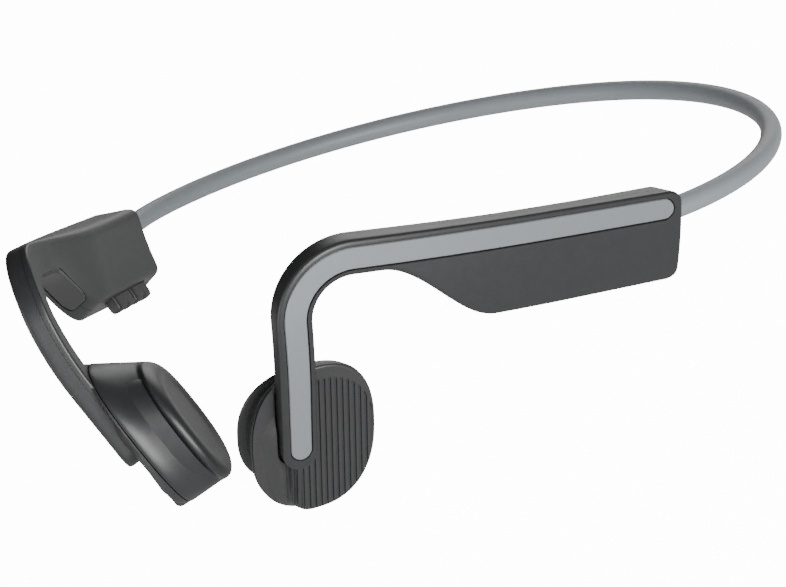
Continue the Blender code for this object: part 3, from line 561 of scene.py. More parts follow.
@dataclass(frozen=True)
class Finish:
    """A finish: colours, gloss and the fine pattern that moulding or making leaves."""

    slot: str
    light: tuple[float, float, float]
    dark: tuple[float, float, float]
    rough: tuple[float, float]
    grain: Grain = Grain.MOULDED
    grain_size: float = 0.25
    relief: float = 0.02
    metallic: float = 0.0
    sheen: float = 0.0

    def material(self) -> bpy.types.Material:
        """The node material, made once for each finish."""
        name = f"{self.slot}_finish"
        known = bpy.data.materials.get(name)
        if known:
            return known
        material = bpy.data.materials.new(name)
        material.use_nodes = True
        tree = material.node_tree
        shader = tree.nodes["Principled BSDF"]
        shader.inputs["Metallic"].default_value = self.metallic
        shader.inputs["Sheen Weight"].default_value = self.sheen
        pattern, relief = self._pattern(tree)
        colour = tree.nodes.new("ShaderNodeMix")
        colour.data_type = "RGBA"
        colour.inputs["A"].default_value = (*self.dark, 1.0)
        colour.inputs["B"].default_value = (*self.light, 1.0)
        tree.links.new(pattern, colour.inputs["Factor"])
        tree.links.new(colour.outputs["Result"], shader.inputs["Base Color"])
        rough = tree.nodes.new("ShaderNodeMapRange")
        rough.inputs["To Min"].default_value = self.rough[0]
        rough.inputs["To Max"].default_value = self.rough[1]
        tree.links.new(pattern, rough.inputs["Value"])
        tree.links.new(rough.outputs["Result"], shader.inputs["Roughness"])
        bumps = tree.nodes.new("ShaderNodeBump")
        bumps.inputs["Strength"].default_value = 1.0
        bumps.inputs["Distance"].default_value = self.relief * MM
        tree.links.new(relief, bumps.inputs["Height"])
        tree.links.new(bumps.outputs["Normal"], shader.inputs["Normal"])
        return material

    def _mapped(self, tree: bpy.types.NodeTree, stretch: tuple[float, float, float]
                ) -> bpy.types.NodeSocket:
        """Object coordinates scaled so that 1 is one grain, stretched along the axes."""
        coordinates = tree.nodes.new("ShaderNodeTexCoord")
        mapping = tree.nodes.new("ShaderNodeMapping")
        scale = 1.0 / (self.grain_size * MM)
        mapping.inputs["Scale"].default_value = [scale * part for part in stretch]
        tree.links.new(coordinates.outputs["Object"], mapping.inputs["Vector"])
        return mapping.outputs["Vector"]

    def _noise(self, tree: bpy.types.NodeTree, vector: bpy.types.NodeSocket, scale: float,
               detail: float = 3.0) -> bpy.types.NodeSocket:
        """A fractal noise from 0 to 1."""
        noise = tree.nodes.new("ShaderNodeTexNoise")
        noise.inputs["Scale"].default_value = scale
        noise.inputs["Detail"].default_value = detail
        tree.links.new(vector, noise.inputs["Vector"])
        return noise.outputs["Fac"]

    def _blend(self, tree: bpy.types.NodeTree, a: bpy.types.NodeSocket, b: bpy.types.NodeSocket,
               share: float) -> bpy.types.NodeSocket:
        """The two patterns mixed, a * (1 - share) + b * share."""
        mix = tree.nodes.new("ShaderNodeMix")
        mix.inputs["Factor"].default_value = share
        tree.links.new(a, mix.inputs["A"])
        tree.links.new(b, mix.inputs["B"])
        return mix.outputs["Result"]

    def _pattern(self, tree: bpy.types.NodeTree
                 ) -> tuple[bpy.types.NodeSocket, bpy.types.NodeSocket]:
        """The colour pattern and the relief pattern of this grain."""
        vector = self._mapped(tree, BRUSHING if self.grain is Grain.BRUSHED else (1.0, 1.0, 1.0))
        if self.grain is Grain.BRUSHED:
            fine = self._noise(tree, vector, 1.0, 2.0)
            return fine, fine
        if self.grain is Grain.WOUND:
            wave = tree.nodes.new("ShaderNodeTexWave")
            wave.bands_direction = "DIAGONAL"
            wave.inputs["Scale"].default_value = 0.3
            wave.inputs["Distortion"].default_value = 0.4
            tree.links.new(vector, wave.inputs["Vector"])
            return wave.outputs["Fac"], wave.outputs["Fac"]
        if self.grain is Grain.BOARD:
            brick = tree.nodes.new("ShaderNodeTexBrick")
            brick.inputs["Scale"].default_value = 0.25
            brick.inputs["Mortar Size"].default_value = 0.06
            tree.links.new(vector, brick.inputs["Vector"])
            speckle = self._noise(tree, vector, 0.6)
            return self._blend(tree, brick.outputs["Fac"], speckle, 0.3), brick.outputs["Fac"]
        if self.grain is Grain.CRUMPLED:
            cells = tree.nodes.new("ShaderNodeTexVoronoi")
            cells.inputs["Scale"].default_value = 0.4
            tree.links.new(vector, cells.inputs["Vector"])
            return self._noise(tree, vector, 0.5), cells.outputs["Distance"]
        fine = self._noise(tree, vector, 1.0, 2.0)
        broad = self._noise(tree, vector, 0.02 if self.grain is Grain.SILICONE else 0.05, 4.0)
        return self._blend(tree, broad, fine, 0.35), fine


BRUSHING = (0.05, 1.0, 1.0)  # brush marks are 20 times as long along X
SHELL = Finish("shell_black", (0.026, 0.027, 0.028), (0.018, 0.019, 0.02), (0.36, 0.46),
               grain_size=0.09, relief=0.006)
PLATE = Finish("cover_black", (0.034, 0.034, 0.035), (0.024, 0.025, 0.026), (0.40, 0.5),
               grain_size=0.09, relief=0.006)
SILICONE = Finish("band_grey", (0.235, 0.258, 0.278), (0.205, 0.225, 0.243), (0.42, 0.52),
                  grain=Grain.SILICONE, grain_size=0.12, relief=0.006, sheen=0.12)
SILVER = Finish("accent_silver", (0.30, 0.322, 0.337), (0.27, 0.29, 0.303), (0.3, 0.36),
                grain_size=0.05, relief=0.003, metallic=0.55)
SPRING = Finish("spring_titanium", (0.47, 0.45, 0.43), (0.36, 0.34, 0.33), (0.28, 0.42),
                grain=Grain.BRUSHED, grain_size=0.1, relief=0.004, metallic=1.0)
STEEL = Finish("driver_steel", (0.56, 0.56, 0.57), (0.42, 0.42, 0.43), (0.22, 0.38),
               grain=Grain.BRUSHED, grain_size=0.12, relief=0.004, metallic=1.0)
COPPER = Finish("coil_copper", (0.72, 0.34, 0.17), (0.4, 0.16, 0.07), (0.25, 0.4),
                grain=Grain.WOUND, grain_size=0.12, relief=0.03, metallic=1.0)
BOARD = Finish("circuit_green", (0.025, 0.16, 0.08), (0.012, 0.09, 0.045), (0.3, 0.5),
               grain=Grain.BOARD, grain_size=0.5, relief=0.02)
MOULDED = Finish("part_plastic", (0.03, 0.03, 0.032), (0.018, 0.018, 0.02), (0.35, 0.5),
                 grain_size=0.1, relief=0.01)
FOIL = Finish("battery_foil", (0.66, 0.66, 0.68), (0.5, 0.5, 0.52), (0.25, 0.42),
              grain=Grain.CRUMPLED, grain_size=0.6, relief=0.05, metallic=0.9)
RUBBER = Finish("seal_rubber", (0.03, 0.03, 0.031), (0.02, 0.02, 0.021), (0.55, 0.68),
                grain=Grain.SILICONE, grain_size=0.1, relief=0.008, sheen=0.1)
FINISHES = {finish.slot: finish for finish in
            (SHELL, PLATE, SILICONE, SILVER, SPRING, STEEL, COPPER, BOARD, MOULDED, FOIL, RUBBER)}


# ------------------------------------------------------------------------------------ pod and arm


SIDE_SHARES = np.array([0.2, 0.45, 0.7])  # where a section's sides have their own points
HAIR = 0.004  # how far apart the two stations of a sharp step are
NEAR_RIM = 0.99995  # share of a half width at which the outermost columns lie


@dataclass(frozen=True)
class Cavity:
    """The hollow of a shell: its wall, where it starts, and where it narrows to a channel.

    It ends short of the tip. The roofs are how deep it goes in the outer shell, in the pod and in
    the arm, and in the inner shell's arm.
    """

    wall: float = 1.2
    start: float = 1.5
    end: float = 50.0
    narrowing: float = 1.5
    channel: float = 0.9
    tip: float = 4.0
    outer_roofs: tuple[float, float] = (1.9, 2.1)
    inner_roof: float = 3.75


@dataclass
class Arm:
    """One side's pod and arm: an outer and an inner shell, and the strip let into the outer one."""

    side: Side
    above: float = 3.04
    below: float = 2.85
    depth: float = 4.2
    pod_below: float = 13.6
    pod_depth: float = 8.0
    taper: tuple[float, float] = (34.0, 54.5)
    deep_taper: tuple[float, float] = (27.0, 64.0)
    top_slope: float = 1.7
    lower_lift: float = 1.2
    lower_tuck: float = 2.4
    parting: float = 3.0
    rear_radius: float = 2.5
    face_radii: tuple[float, float] = (0.9, 0.7)
    tip_radius: float = 3.0
    rear_dome: tuple[float, float] = (1.6, 1.4)
    edge: float = 0.9
    inner_edge: tuple[float, float] = (1.75, 0.6)
    seam: float = 0.06
    step: float = 0.35
    strip_half: float = 1.8
    strip_ends: tuple[float, float] = (1.9, 2.2)
    strip_levels: tuple[float, float] = (0.1, 0.62)
    strip_gap: float = 0.14
    groove_floor: float = 0.8
    groove_chamfer: float = 0.09
    groove_least: float = 0.03
    cavity: Cavity = field(default_factory=Cavity)

    def corners(self, d: np.ndarray) -> list[np.ndarray]:
        """The section's corners (s, q) at each distance.

        The pod's share and its depth ease off along the path; the ends are drawn in by quarter
        rounds, radius - sqrt(radius^2 - (radius - distance)^2).

        Args:
            d: Distances along the path.

        Returns:
            Four arrays (station, 2): outer top, inner top, inner low and outer low.
        """
        pod = 1.0 - smooth(d, *self.taper)
        deep = 1.0 - smooth(d, *self.deep_taper)
        rear, tip = d, PATH.end - d
        drawn = round_in(rear, self.rear_radius) + round_in(tip, self.tip_radius)
        face = round_in(rear, self.face_radii[0]) + round_in(tip, self.face_radii[1])
        dome = self.rear_dome[1] * round_in(rear, self.rear_dome[0])
        depth = self.depth + (self.pod_depth - self.depth) * deep - dome
        top = self.above - drawn
        low = -(self.below + (self.pod_below - self.below) * pod) + drawn
        return [np.stack(pair, axis=-1) for pair in
                ((top, face), (top - self.top_slope * deep, depth),
                 (low + self.lower_lift * pod, depth - self.lower_tuck * pod), (low, face))]

    def stations(self, start: float, stop: float) -> np.ndarray:
        """Distances that step evenly and close up round the ends of the path and of the strip."""
        margin, hair = 0.01, 0.003
        rear = quarter_steps(self.rear_radius, 12)
        tip = PATH.end - 2.0 * margin - quarter_steps(self.tip_radius, 14)
        first, last = self.strip_ends
        strip = quarter_steps(self.strip_half, 9)
        strip = np.concatenate([first + strip, PATH.end - last - strip])
        every = np.concatenate([np.arange(start, stop, self.step), rear + margin, tip + margin,
                                strip, strip[[0, 9]] + (hair, -hair), [stop]])
        return np.unique(np.round(every[(every >= start) & (every <= stop)], 4))

    def shell_stations(self) -> np.ndarray:
        """The stations of a shell, with a close pair where the hollow starts."""
        d = self.stations(0.012, PATH.end - 0.02)
        return np.unique(np.concatenate([d, self.cavity.start + np.array([-HAIR, HAIR])]))

    def groove(self, d: np.ndarray, spare: float) -> np.ndarray:
        """Half the width of the strip at each distance: a round end is sqrt(r^2 - (r - x)^2)."""
        radius = self.strip_half + spare
        start, end = self.strip_ends[0] - spare, PATH.end - self.strip_ends[1] + spare
        near = np.minimum(d - start, end - d)
        return np.where(near > 0.0, radius - round_in(near, radius), 0.0)

    def split(self, side_start: np.ndarray, side_end: np.ndarray, level: np.ndarray) -> np.ndarray:
        """Where a section's slanting side crosses a depth."""
        share = (level - side_start[:, 1]) / (side_end[:, 1] - side_start[:, 1])
        return side_start + (side_end - side_start) * share[:, None]

    def channel_corners(self, d: np.ndarray, face: np.ndarray, limit: np.ndarray) -> np.ndarray:
        """The strip's groove in the face: a chamfered channel, shut where there is no strip.

        Args:
            d: Distances along the path.
            face: Depth of the outer face at each distance.
            limit: The most that the groove's half width may be.

        Returns:
            Six corners (station, 6, 2), from the upper chamfer to the lower one.
        """
        half = self.groove(d, self.strip_gap)
        on = half > 0.0
        half = np.minimum(np.maximum(half, self.groove_least), limit)
        floor = np.where(on, self.groove_floor, 0.0)
        chamfer = np.where(on, self.groove_chamfer, 0.0)
        none = np.zeros_like(floor)
        upper = [(half + chamfer, none), (half, chamfer), (half, floor)]
        lower = [(-s, q) for s, q in reversed(upper)]
        return np.stack([np.stack([s, face + q], axis=-1) for s, q in upper + lower], axis=1)

    def outer(self) -> Surface:
        """The outer shell: section rings along the path, C-shaped round the hollow.

        Each ring goes from the parting plane over the top edge, across the face with the strip's
        groove, round the lower edge, and back through the hollow.
        """
        d = self.shell_stations()
        a, b, c, low = self.corners(d)
        level = np.minimum(self.parting, np.minimum(b[:, 1], c[:, 1]) - 0.2)
        top_cut, low_cut = self.split(a, b, level), self.split(low, c, level)
        edge = np.full(len(d), self.edge)
        a_round, low_round = fillet(top_cut, a, low, edge, 7), fillet(a, low, low_cut, edge, 7)
        limit = np.maximum(np.minimum(a[:, 0], -low[:, 0]) - 0.25, 0.02)
        groove = self.channel_corners(d, a[:, 1], limit)
        roof = np.where(d < self.cavity.end, *self.cavity.outer_roofs)
        ring = np.concatenate([
            top_cut[:, None], between(top_cut, a_round[:, 0], SIDE_SHARES), a_round,
            between(a_round[:, -1], groove[:, 0], np.array([0.5])), groove,
            between(groove[:, -1], low_round[:, 0], np.array([0.1, 0.25, 0.4, 0.55, 0.7, 0.85])),
            low_round, between(low_round[:, -1], low_cut, SIDE_SHARES), low_cut[:, None],
            self.hollow(d, top_cut, low_cut, roof, level)], axis=1)
        surface = Surface(f"{self.side.word}_outer_shell")
        surface.tube(PATH.point(self.side, d[:, None], ring[..., 0], ring[..., 1]))
        return surface

    def hollow(self, d: np.ndarray, top: np.ndarray, low: np.ndarray, floor: np.ndarray,
               level: np.ndarray) -> np.ndarray:
        """The hollow's part of each ring, from the lower wall across the floor to the upper wall.

        Outside the hollow's length it is a shallow dent, so that every ring has as many corners.

        Args:
            d: Distances along the path.
            top: Where the section's upper side meets the parting plane.
            low: Where its lower side does.
            floor: Depth of the hollow's floor.
            level: Depth of the parting plane.

        Returns:
            An array (station, 8, 2).
        """
        cavity = self.cavity
        inside = (d > cavity.start) & (d < PATH.end - cavity.tip)
        pod = 1.0 - smooth(d, cavity.end, cavity.end + cavity.narrowing)
        shut, shallow = 0.1, 0.01
        high_s = np.where(inside, (top[:, 0] - cavity.wall) * pod + cavity.channel * (1 - pod),
                          top[:, 0] - shut)
        low_s = np.where(inside, (low[:, 0] + cavity.wall) * pod - cavity.channel * (1 - pod),
                         low[:, 0] + shut)
        deep = np.where(inside, floor, level + shallow * np.sign(floor - level))
        shares = np.array([0.0, 0.0, 0.2, 0.4, 0.6, 0.8, 1.0, 1.0])
        s = low_s[:, None] + (high_s - low_s)[:, None] * shares
        q = np.repeat(deep[:, None], len(shares), axis=1)
        q[:, 0] = q[:, -1] = level
        return np.stack([s, q], axis=-1)

    def inner(self) -> Surface:
        """The inner shell: rings from the parting plane round the inner face, hollow behind."""
        d = self.shell_stations()
        a, b, c, low = self.corners(d)
        shallower = np.minimum(b[:, 1], c[:, 1])
        level = np.minimum(self.parting + self.seam, shallower - 0.1)
        top_cut, low_cut = self.split(a, b, level), self.split(low, c, level)
        reach = self.inner_edge[0] + self.inner_edge[1] * (1.0 - smooth(d, *self.deep_taper))
        b_round, c_round = fillet(top_cut, b, c, reach, 9), fillet(b, c, low_cut, reach, 9)
        across = np.array([0.12, 0.25, 0.38, 0.5, 0.62, 0.75, 0.88])
        floor = np.where(d < self.cavity.end, shallower - self.cavity.wall, self.cavity.inner_roof)
        ring = np.concatenate([
            top_cut[:, None], between(top_cut, b_round[:, 0], SIDE_SHARES), b_round,
            between(b_round[:, -1], c_round[:, 0], across), c_round,
            between(c_round[:, -1], low_cut, SIDE_SHARES), low_cut[:, None],
            self.hollow(d, top_cut, low_cut, floor, level)], axis=1)
        surface = Surface(f"{self.side.word}_inner_shell")
        surface.tube(PATH.point(self.side, d[:, None], ring[..., 0], ring[..., 1]))
        return surface

    def strip(self) -> Surface:
        """The strip: a thin plate with round ends and chamfered edges, bent to the sheet."""
        d = self.stations(self.strip_ends[0] + 0.02, PATH.end - self.strip_ends[1] - 0.02)
        half = np.maximum(self.groove(d, 0.0), 0.05)
        outer, inner = self.strip_levels
        chamfer = np.minimum(0.14, half * 0.4)
        flat = half - chamfer
        shares = np.array([1.0, 0.5, 0.0, -0.5, -1.0])
        s = np.concatenate([half[:, None], flat[:, None] * shares, -half[:, None], -half[:, None],
                            half[:, None]], axis=1)
        q = np.concatenate([outer + chamfer[:, None], np.full((len(d), 5), outer),
                            outer + chamfer[:, None], np.full((len(d), 2), inner)], axis=1)
        surface = Surface(f"{self.side.word}_strip")
        surface.tube(PATH.point(self.side, d[:, None], s, q))
        return surface


# ------------------------------------------------------------------------------------ transducer


@dataclass
class Pad:
    """A transducer: ribbed plate, housing and the cover that rests on the skin.

    Its local axes are x forward, y up and z inward from the outer sheet.
    """

    side: Side
    place: tuple[float, float] = (71.1, -22.1)
    half_width: float = 10.05
    half_height: float = 14.9
    power: float = 2.4
    shear: float = 1.0
    face: float = 1.6
    skin: float = 12.9
    grow: float = 0.9
    shorten: float = 4.0
    sink: float = 4.6
    drift: float = -0.5
    seam: float = 4.3
    plate_thick: float = 1.1
    plate_least: float = 0.3
    plate_gap: float = 0.12
    travel_gap: float = 0.4
    crest: float = 6.4
    crest_curve: float = 4.2
    crest_fall: tuple[float, float] = (2.6, 1.6)
    valley: float = 1.2
    rib_pitch: float = 0.98
    rib_half: float = 0.17
    rib_slope: float = 0.1
    rib_depth: float = 0.34
    rib_top: float = 3.1
    rib_span: tuple[float, float] = (-9.3, 4.4)
    short_lines: tuple[tuple[float, float, float], ...] = ((4.15, -12.5, 1.6), (5.15, -10.5, -1.2))
    edge: float = 0.9
    scoop: float = 2.1
    lip: float = 1.3
    dish: float = 0.45

    def __post_init__(self) -> None:
        """Finds the pad's axes."""
        self.axes = Axes.at(SHEET.point, self.side, *self.place, 0.0)

    def local(self, points: np.ndarray) -> np.ndarray:
        """Local places of worn-frame ones."""
        away = points - self.axes.origin
        return np.stack([away @ self.axes.x, away @ self.axes.y, away @ self.axes.z], axis=-1)

    def outline(self, z: np.ndarray, inset: np.ndarray, angles: np.ndarray) -> np.ndarray:
        """Outlines at each level, drawn in by each inset.

        |x / half_width|^power + |y / half_height|^power = 1, both half sizes and the centre
        changing evenly from the face to the skin, and x leaning back as y rises.

        Args:
            z: Levels, one for each ring.
            inset: How far each ring is drawn in, (ring,) or (ring, angle).
            angles: Angles round the outline.

        Returns:
            An array (ring, angle, 2) of local x and y.
        """
        share = ((z - self.face) / (self.skin - self.face))[:, None]
        inset = inset[:, None] if np.ndim(inset) == 1 else inset
        wide = self.half_width + self.grow * share - inset
        high = self.half_height - self.shorten * share - inset
        cosine, sine = np.cos(angles)[None], np.sin(angles)[None]
        x = wide * np.sign(cosine) * np.abs(cosine) ** (2.0 / self.power)
        y = high * np.sign(sine) * np.abs(sine) ** (2.0 / self.power)
        x = x + self.drift * share - self.shear * y / self.half_height
        return np.stack([x, y - self.sink * share], axis=-1)

    def plate(self) -> Surface:
        """The ribbed plate: one height for each place of a sheared oval, worked out by columns.

        z = face + edge rounding + crease + grooves, where the grooves run along the columns and
        stop short of the top edge.
        """
        width, height = self.half_width - self.plate_gap, self.half_height - self.plate_gap
        columns = self.columns(width)
        top = height * (1.0 - np.abs(columns / width) ** self.power) ** (1.0 / self.power)
        upper = self.channel(columns, top)
        rows = (1.0 - np.cos(np.linspace(0.0, math.pi, 120))) / 2.0
        y = -top[:, None] + (upper + top)[:, None] * rows
        x = columns[:, None] - self.shear * y / self.half_height
        rim = self.rim_distance(columns[:, None], y, width, height)
        edge = self.edge * (1.0 + smooth(x, 2.0, 8.0))
        grooves = self.relief(columns, y, top) * smooth(rim, 0.15, 0.8)
        z = self.face + round_in(rim, edge) + self.crease(x, y) + grooves - self.short_ribs(x, y)
        foot = self.seam - (self.travel_gap if self.side is Side.LEFT else self.plate_gap)
        hollow = self.face + self.plate_thick + self.crease(x, y)
        back = hollow + (foot - hollow) * (1.0 - smooth(rim, 0.85, 1.0))
        z = np.minimum(z, foot - self.plate_least)
        back = np.maximum(back, z + self.plate_least)
        surface = Surface(f"{self.side.word}_plate")
        surface.sandwich(*(self.axes.point(*self.shrunk(columns[:, None], y, level), level)
                           for level in (z, back)))
        return surface

    def columns(self, width: float) -> np.ndarray:
        """The plate's columns: evenly round the oval, and at every edge of a groove or channel."""
        slope = self.rib_half + self.rib_slope
        grooves = self.groove_places()
        edges = [grooves + shift for shift in (-slope, -self.rib_half, self.rib_half, slope)]
        even = width * np.sin(np.linspace(-math.pi / 2, math.pi / 2, 150))
        columns = np.unique(np.concatenate([even, *edges, self.tongue_lines()]))
        columns = columns[np.abs(columns) <= width]
        columns[0], columns[-1] = -width * NEAR_RIM, width * NEAR_RIM
        return columns

    def shrunk(self, column: np.ndarray, y: np.ndarray, z: np.ndarray
               ) -> tuple[np.ndarray, np.ndarray]:
        """Local x and y of a place of the face's oval, carried to the outline's size at z."""
        share = (z - self.face) / (self.skin - self.face)
        wide = (self.half_width + self.grow * share) / self.half_width
        high = (self.half_height - self.shorten * share) / self.half_height
        tall = y * high
        x = column * wide - self.shear * tall / self.half_height + self.drift * share
        return x, tall - self.sink * share

    def rim_distance(self, column: np.ndarray, y: np.ndarray, width: float, height: float
                     ) -> np.ndarray:
        """Distance in from the oval's rim, (1 - f) / |gradient of f| for f = the oval's radius."""
        u, v = np.abs(column / width), np.abs(y / height)
        f = np.maximum((u ** self.power + v ** self.power) ** (1.0 / self.power), 1e-6)
        less = self.power - 1.0
        scale = np.sqrt((u ** less / width) ** 2 + (v ** less / height) ** 2)
        return np.maximum(1.0 - f, 0.0) / np.maximum(scale / f ** less, 1e-6)

    def crease(self, x: np.ndarray, y: np.ndarray) -> np.ndarray:
        """How far the front of the face falls away, past a crest that curves up to the tongue.

        With t the distance ahead of the crest: a valley behind it, depth * bell(t), and beyond it
        fall * (1 - exp(-t / run)), where t has a soft start, (t + sqrt(t^2 + 0.8)) / 2.
        """
        crest = self.crest - self.crest_curve * smooth(y, 1.0, 10.0)
        ahead = x - crest
        soft = (ahead + np.sqrt(ahead ** 2 + 0.8)) / 2.0
        valley = self.valley * bump(ahead, -1.6, 1.1) * (1.0 - smooth(y, 3.0, 9.5))
        fall, run = self.crest_fall
        return fall * (1.0 - np.exp(-soft / run)) + valley

    def groove_places(self) -> np.ndarray:
        """Columns that have a groove, one pitch apart from the rear to the tongue's front."""
        return np.arange(*self.rib_span, self.rib_pitch)

    def tongue_lines(self) -> np.ndarray:
        """Columns of the channel that the tongue lies in: its doubled edges and a few between."""
        local = self.local(PATH.point(self.side, PATH.end - 12.0, np.array([-3.1, 3.4]), 0.0))
        low, high = np.sort(local[:, 0] + self.shear * local[:, 1] / self.half_height)
        inside = (low + high) / 2.0 + (high - low) / 2.0 * np.sin(np.linspace(-1.5, 1.5, 25))
        return np.concatenate([[low], [low + HAIR], inside, [high - HAIR], [high]])

    def channel(self, columns: np.ndarray, top: np.ndarray) -> np.ndarray:
        """Upper end of each column: the oval's top, or the channel's round end, a half circle."""
        tongue = self.tongue_lines()
        middle, radius = (tongue[0] + tongue[-1]) / 2.0, (tongue[-1] - tongue[0]) / 2.0
        end = self.local(PATH.point(self.side, PATH.end - 3.0, 0.15, 0.0))[1]
        across = np.clip(np.abs(columns - middle) / radius, 0.0, 1.0)
        inside = (columns > tongue[0] + HAIR / 2.0) & (columns < tongue[-1] - HAIR / 2.0)
        return np.where(inside, end - radius * np.sqrt(1.0 - across ** 2), top)

    def short_ribs(self, x: np.ndarray, y: np.ndarray) -> np.ndarray:
        """Height of the two thin ribs ahead of the tongue: bells across, eased at both ends."""
        height = np.zeros_like(x)
        ease, tall, lean, half = 0.8, 0.42, 0.07, 0.2
        for line, low, high in self.short_lines:
            ends = smooth(y, low - ease, low + ease) * (1.0 - smooth(y, high - ease, high + ease))
            height = np.maximum(height, tall * bump(x + lean * y, line, half) * ends)
        return height

    def relief(self, columns: np.ndarray, y: np.ndarray, top: np.ndarray) -> np.ndarray:
        """Depth of the grooves: full between their edges, easing off under the top edge."""
        away = np.abs(columns[:, None] - self.groove_places()[None]).min(axis=1)
        inside = np.clip((self.rib_half + self.rib_slope - away) / self.rib_slope, 0.0, 1.0)
        fade = smooth(top[:, None] - y, self.rib_top - 0.35, self.rib_top + 0.25)
        return self.rib_depth * inside[:, None] * fade

    def housing(self) -> Surface:
        """The housing's tray, which closes the cover behind the plate: a closed slab of outlines."""
        low, high = self.seam + 0.3, self.seam + 1.05
        level = np.array([low, low, low + 0.1, high - 0.1, high, high])
        inset = np.array([4.0, 1.45, 1.35, 1.35, 1.45, 4.0])
        flat = self.outline(level, inset, (np.arange(112) + 0.5) * math.tau / 112)
        surface = Surface(f"{self.side.word}_housing")
        surface.tube(self.axes.point(flat[..., 0], flat[..., 1], level[:, None]))
        return surface

    def cover(self) -> Surface:
        """The skin-side cover: a cup with a scooped front, a rolled lip and a dished face.

        The front wall's inset grows from the foot and drops back steeply at the lip, and the face
        falls into the dish by an eased step.
        """
        angles = (np.arange(128) + 0.5) * math.tau / 128
        every = np.ones((1, len(angles)))
        foot, roof, rolled = self.seam, self.skin - 2.1, self.skin - self.lip
        wall = np.concatenate([np.linspace(foot + 0.3, 9.6, 16), np.linspace(9.8, rolled, 14)])
        deep = smooth(wall, foot + 0.2, 10.8) * (1.0 - smooth(wall, 10.2, 11.5))
        front = smooth(np.cos(angles - math.radians(12.0)), -0.1, 0.95)
        hollow = self.scoop * (deep / deep.max())[:, None] * front[None]
        turn = np.linspace(0.0, math.pi / 2, 9)[1:]
        lip_z, lip_in = rolled + self.lip * np.sin(turn), self.lip * (1 - np.cos(turn))
        dish_in = np.array([1.7, 2.1, 2.4, 2.7, 3.0, 3.3, 3.6, 3.9, 4.3, 4.8, 6.0, 7.5, 9.0])
        spread = 0.9 + 0.9 * (1.0 + np.cos(angles + math.radians(5.0))) / 2.0
        fall = self.dish * smooth((dish_in[:, None] - dish_in[0]) / spread[None], 0.0, 2.4)
        inside = np.array([8.0, 5.0, 2.0, 1.2, 1.2, 0.3, 0.08])
        inside_z = np.array([roof, roof, roof, roof - 0.3, foot, foot, foot + 0.1])
        inset = np.concatenate([inside[:, None] * every, hollow, lip_in[:, None] * every,
                                dish_in[:, None] * every])
        drawn = np.concatenate([inside_z[:, None] * every, wall[:, None] * every,
                                lip_z[:, None] * every, self.skin - fall])
        flat = self.outline(np.minimum(drawn.mean(axis=1), self.skin), inset, angles)
        surface = Surface(f"{self.side.word}_cover")
        surface.tube(self.axes.point(flat[..., 0], flat[..., 1], drawn))
        return surface


# ------------------------------------------------------------------------------------ neckband


@dataclass
class Neckband:
    """The silicone sheath over the sprung wire, in two halves that meet behind the neck."""

    sides: int = 40
    stations: int = 320
    radius: float = 1.84
    bend: float = 8.0

    def half(self, side: Side) -> Surface:
        """A round tube along the band's line, from behind the neck into the pod."""
        places, heading = BAND.stations(side, None, self.stations)
        across = unit(np.cross(np.broadcast_to([0.0, 0.0, 1.0], heading.shape), heading))
        up = np.cross(heading, across)
        angles = np.arange(self.sides) * math.tau / self.sides
        ring = self.radius * (across[:, None] * np.cos(angles)[None, :, None]
                              + up[:, None] * np.sin(angles)[None, :, None])
        surface = Surface(f"neckband_{side.word}_silicone")
        surface.tube(places[:, None] + ring)
        return surface

    def dress(self) -> None:
        """Builds both halves and hides the frame's sheath nodes that they stand for."""
        for side in Side:
            sheath = self.half(side).build(None, SILICONE)
            nodes = [f"neckband_{side.word}_sheath"]
            if side is Side.LEFT:
                nodes.append("neckband_rear_sheath")
            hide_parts(*nodes)
            ends, _ = BAND.stations(side, BAND.split + np.array([-self.bend, self.bend]))
            start, end = STANCE.lay(ends)
            side.body
            tuple(start)
            tuple(end)
            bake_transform(sheath)


# ------------------------------------------------------------------------------------ controls


@dataclass
class Buttons:
    """The two volume buttons under the right pod."""

    runs: tuple[tuple[str, float], ...] = (("volume_up", 12.6), ("volume_down", 21.4))
    length: float = 8.2
    width: float = 2.4
    proud: float = 1.9
    dip: float = 0.62
    inside: float = 1.5
    slot_inside: float = 4.5
    slot_spare: tuple[float, float] = (0.16, 3.0)
    deep: float = 3.5

    def axes(self, arm: Arm, run: float) -> Axes:
        """Axes on the pod's lower edge: x forward, y up into the pod, z inward."""
        low = float(arm.corners(np.array([run]))[3][0, 0])
        return Axes.at(PATH.point, Side.RIGHT, run, low, self.deep)

    def block(self, name: str, axes: Axes, spare: float, deeper: float) -> Surface:
        """A rounded block with two ridges: rings along x whose height dips in the middle.

        The height is proud - dip * bell(x), and each ring is a superellipse of power 4.

        Args:
            name: Name of the surface.
            axes: The button's axes.
            spare: Extra size all round, for a slot.
            deeper: Extra reach outward, for a slot.

        Returns:
            The block's surface.
        """
        half = self.length / 2.0 + spare
        x = half * np.sin(np.linspace(-math.pi / 2, math.pi / 2, 61))
        end = 1.0 - np.abs(x / half) ** 8
        dip, inside = (0.0, self.slot_inside) if deeper else (self.dip, self.inside)
        high = (self.proud + deeper - dip * bump(x, 0.0, 0.75)) * np.maximum(end, 0.0) ** 0.125
        angles = np.arange(40) * math.tau / 40
        cosine, sine = np.cos(angles), np.sin(angles)
        z = (self.width / 2.0 + spare) * np.sign(cosine) * np.sqrt(np.abs(cosine))
        y = np.sign(sine) * np.sqrt(np.abs(sine))
        y = np.where(y[None] < 0.0, y[None] * high[:, None], y[None] * inside)
        surface = Surface(name)
        surface.tube(axes.point(x[:, None], y, z[None] * np.maximum(end, 0.05)[:, None] ** 0.125))
        return surface


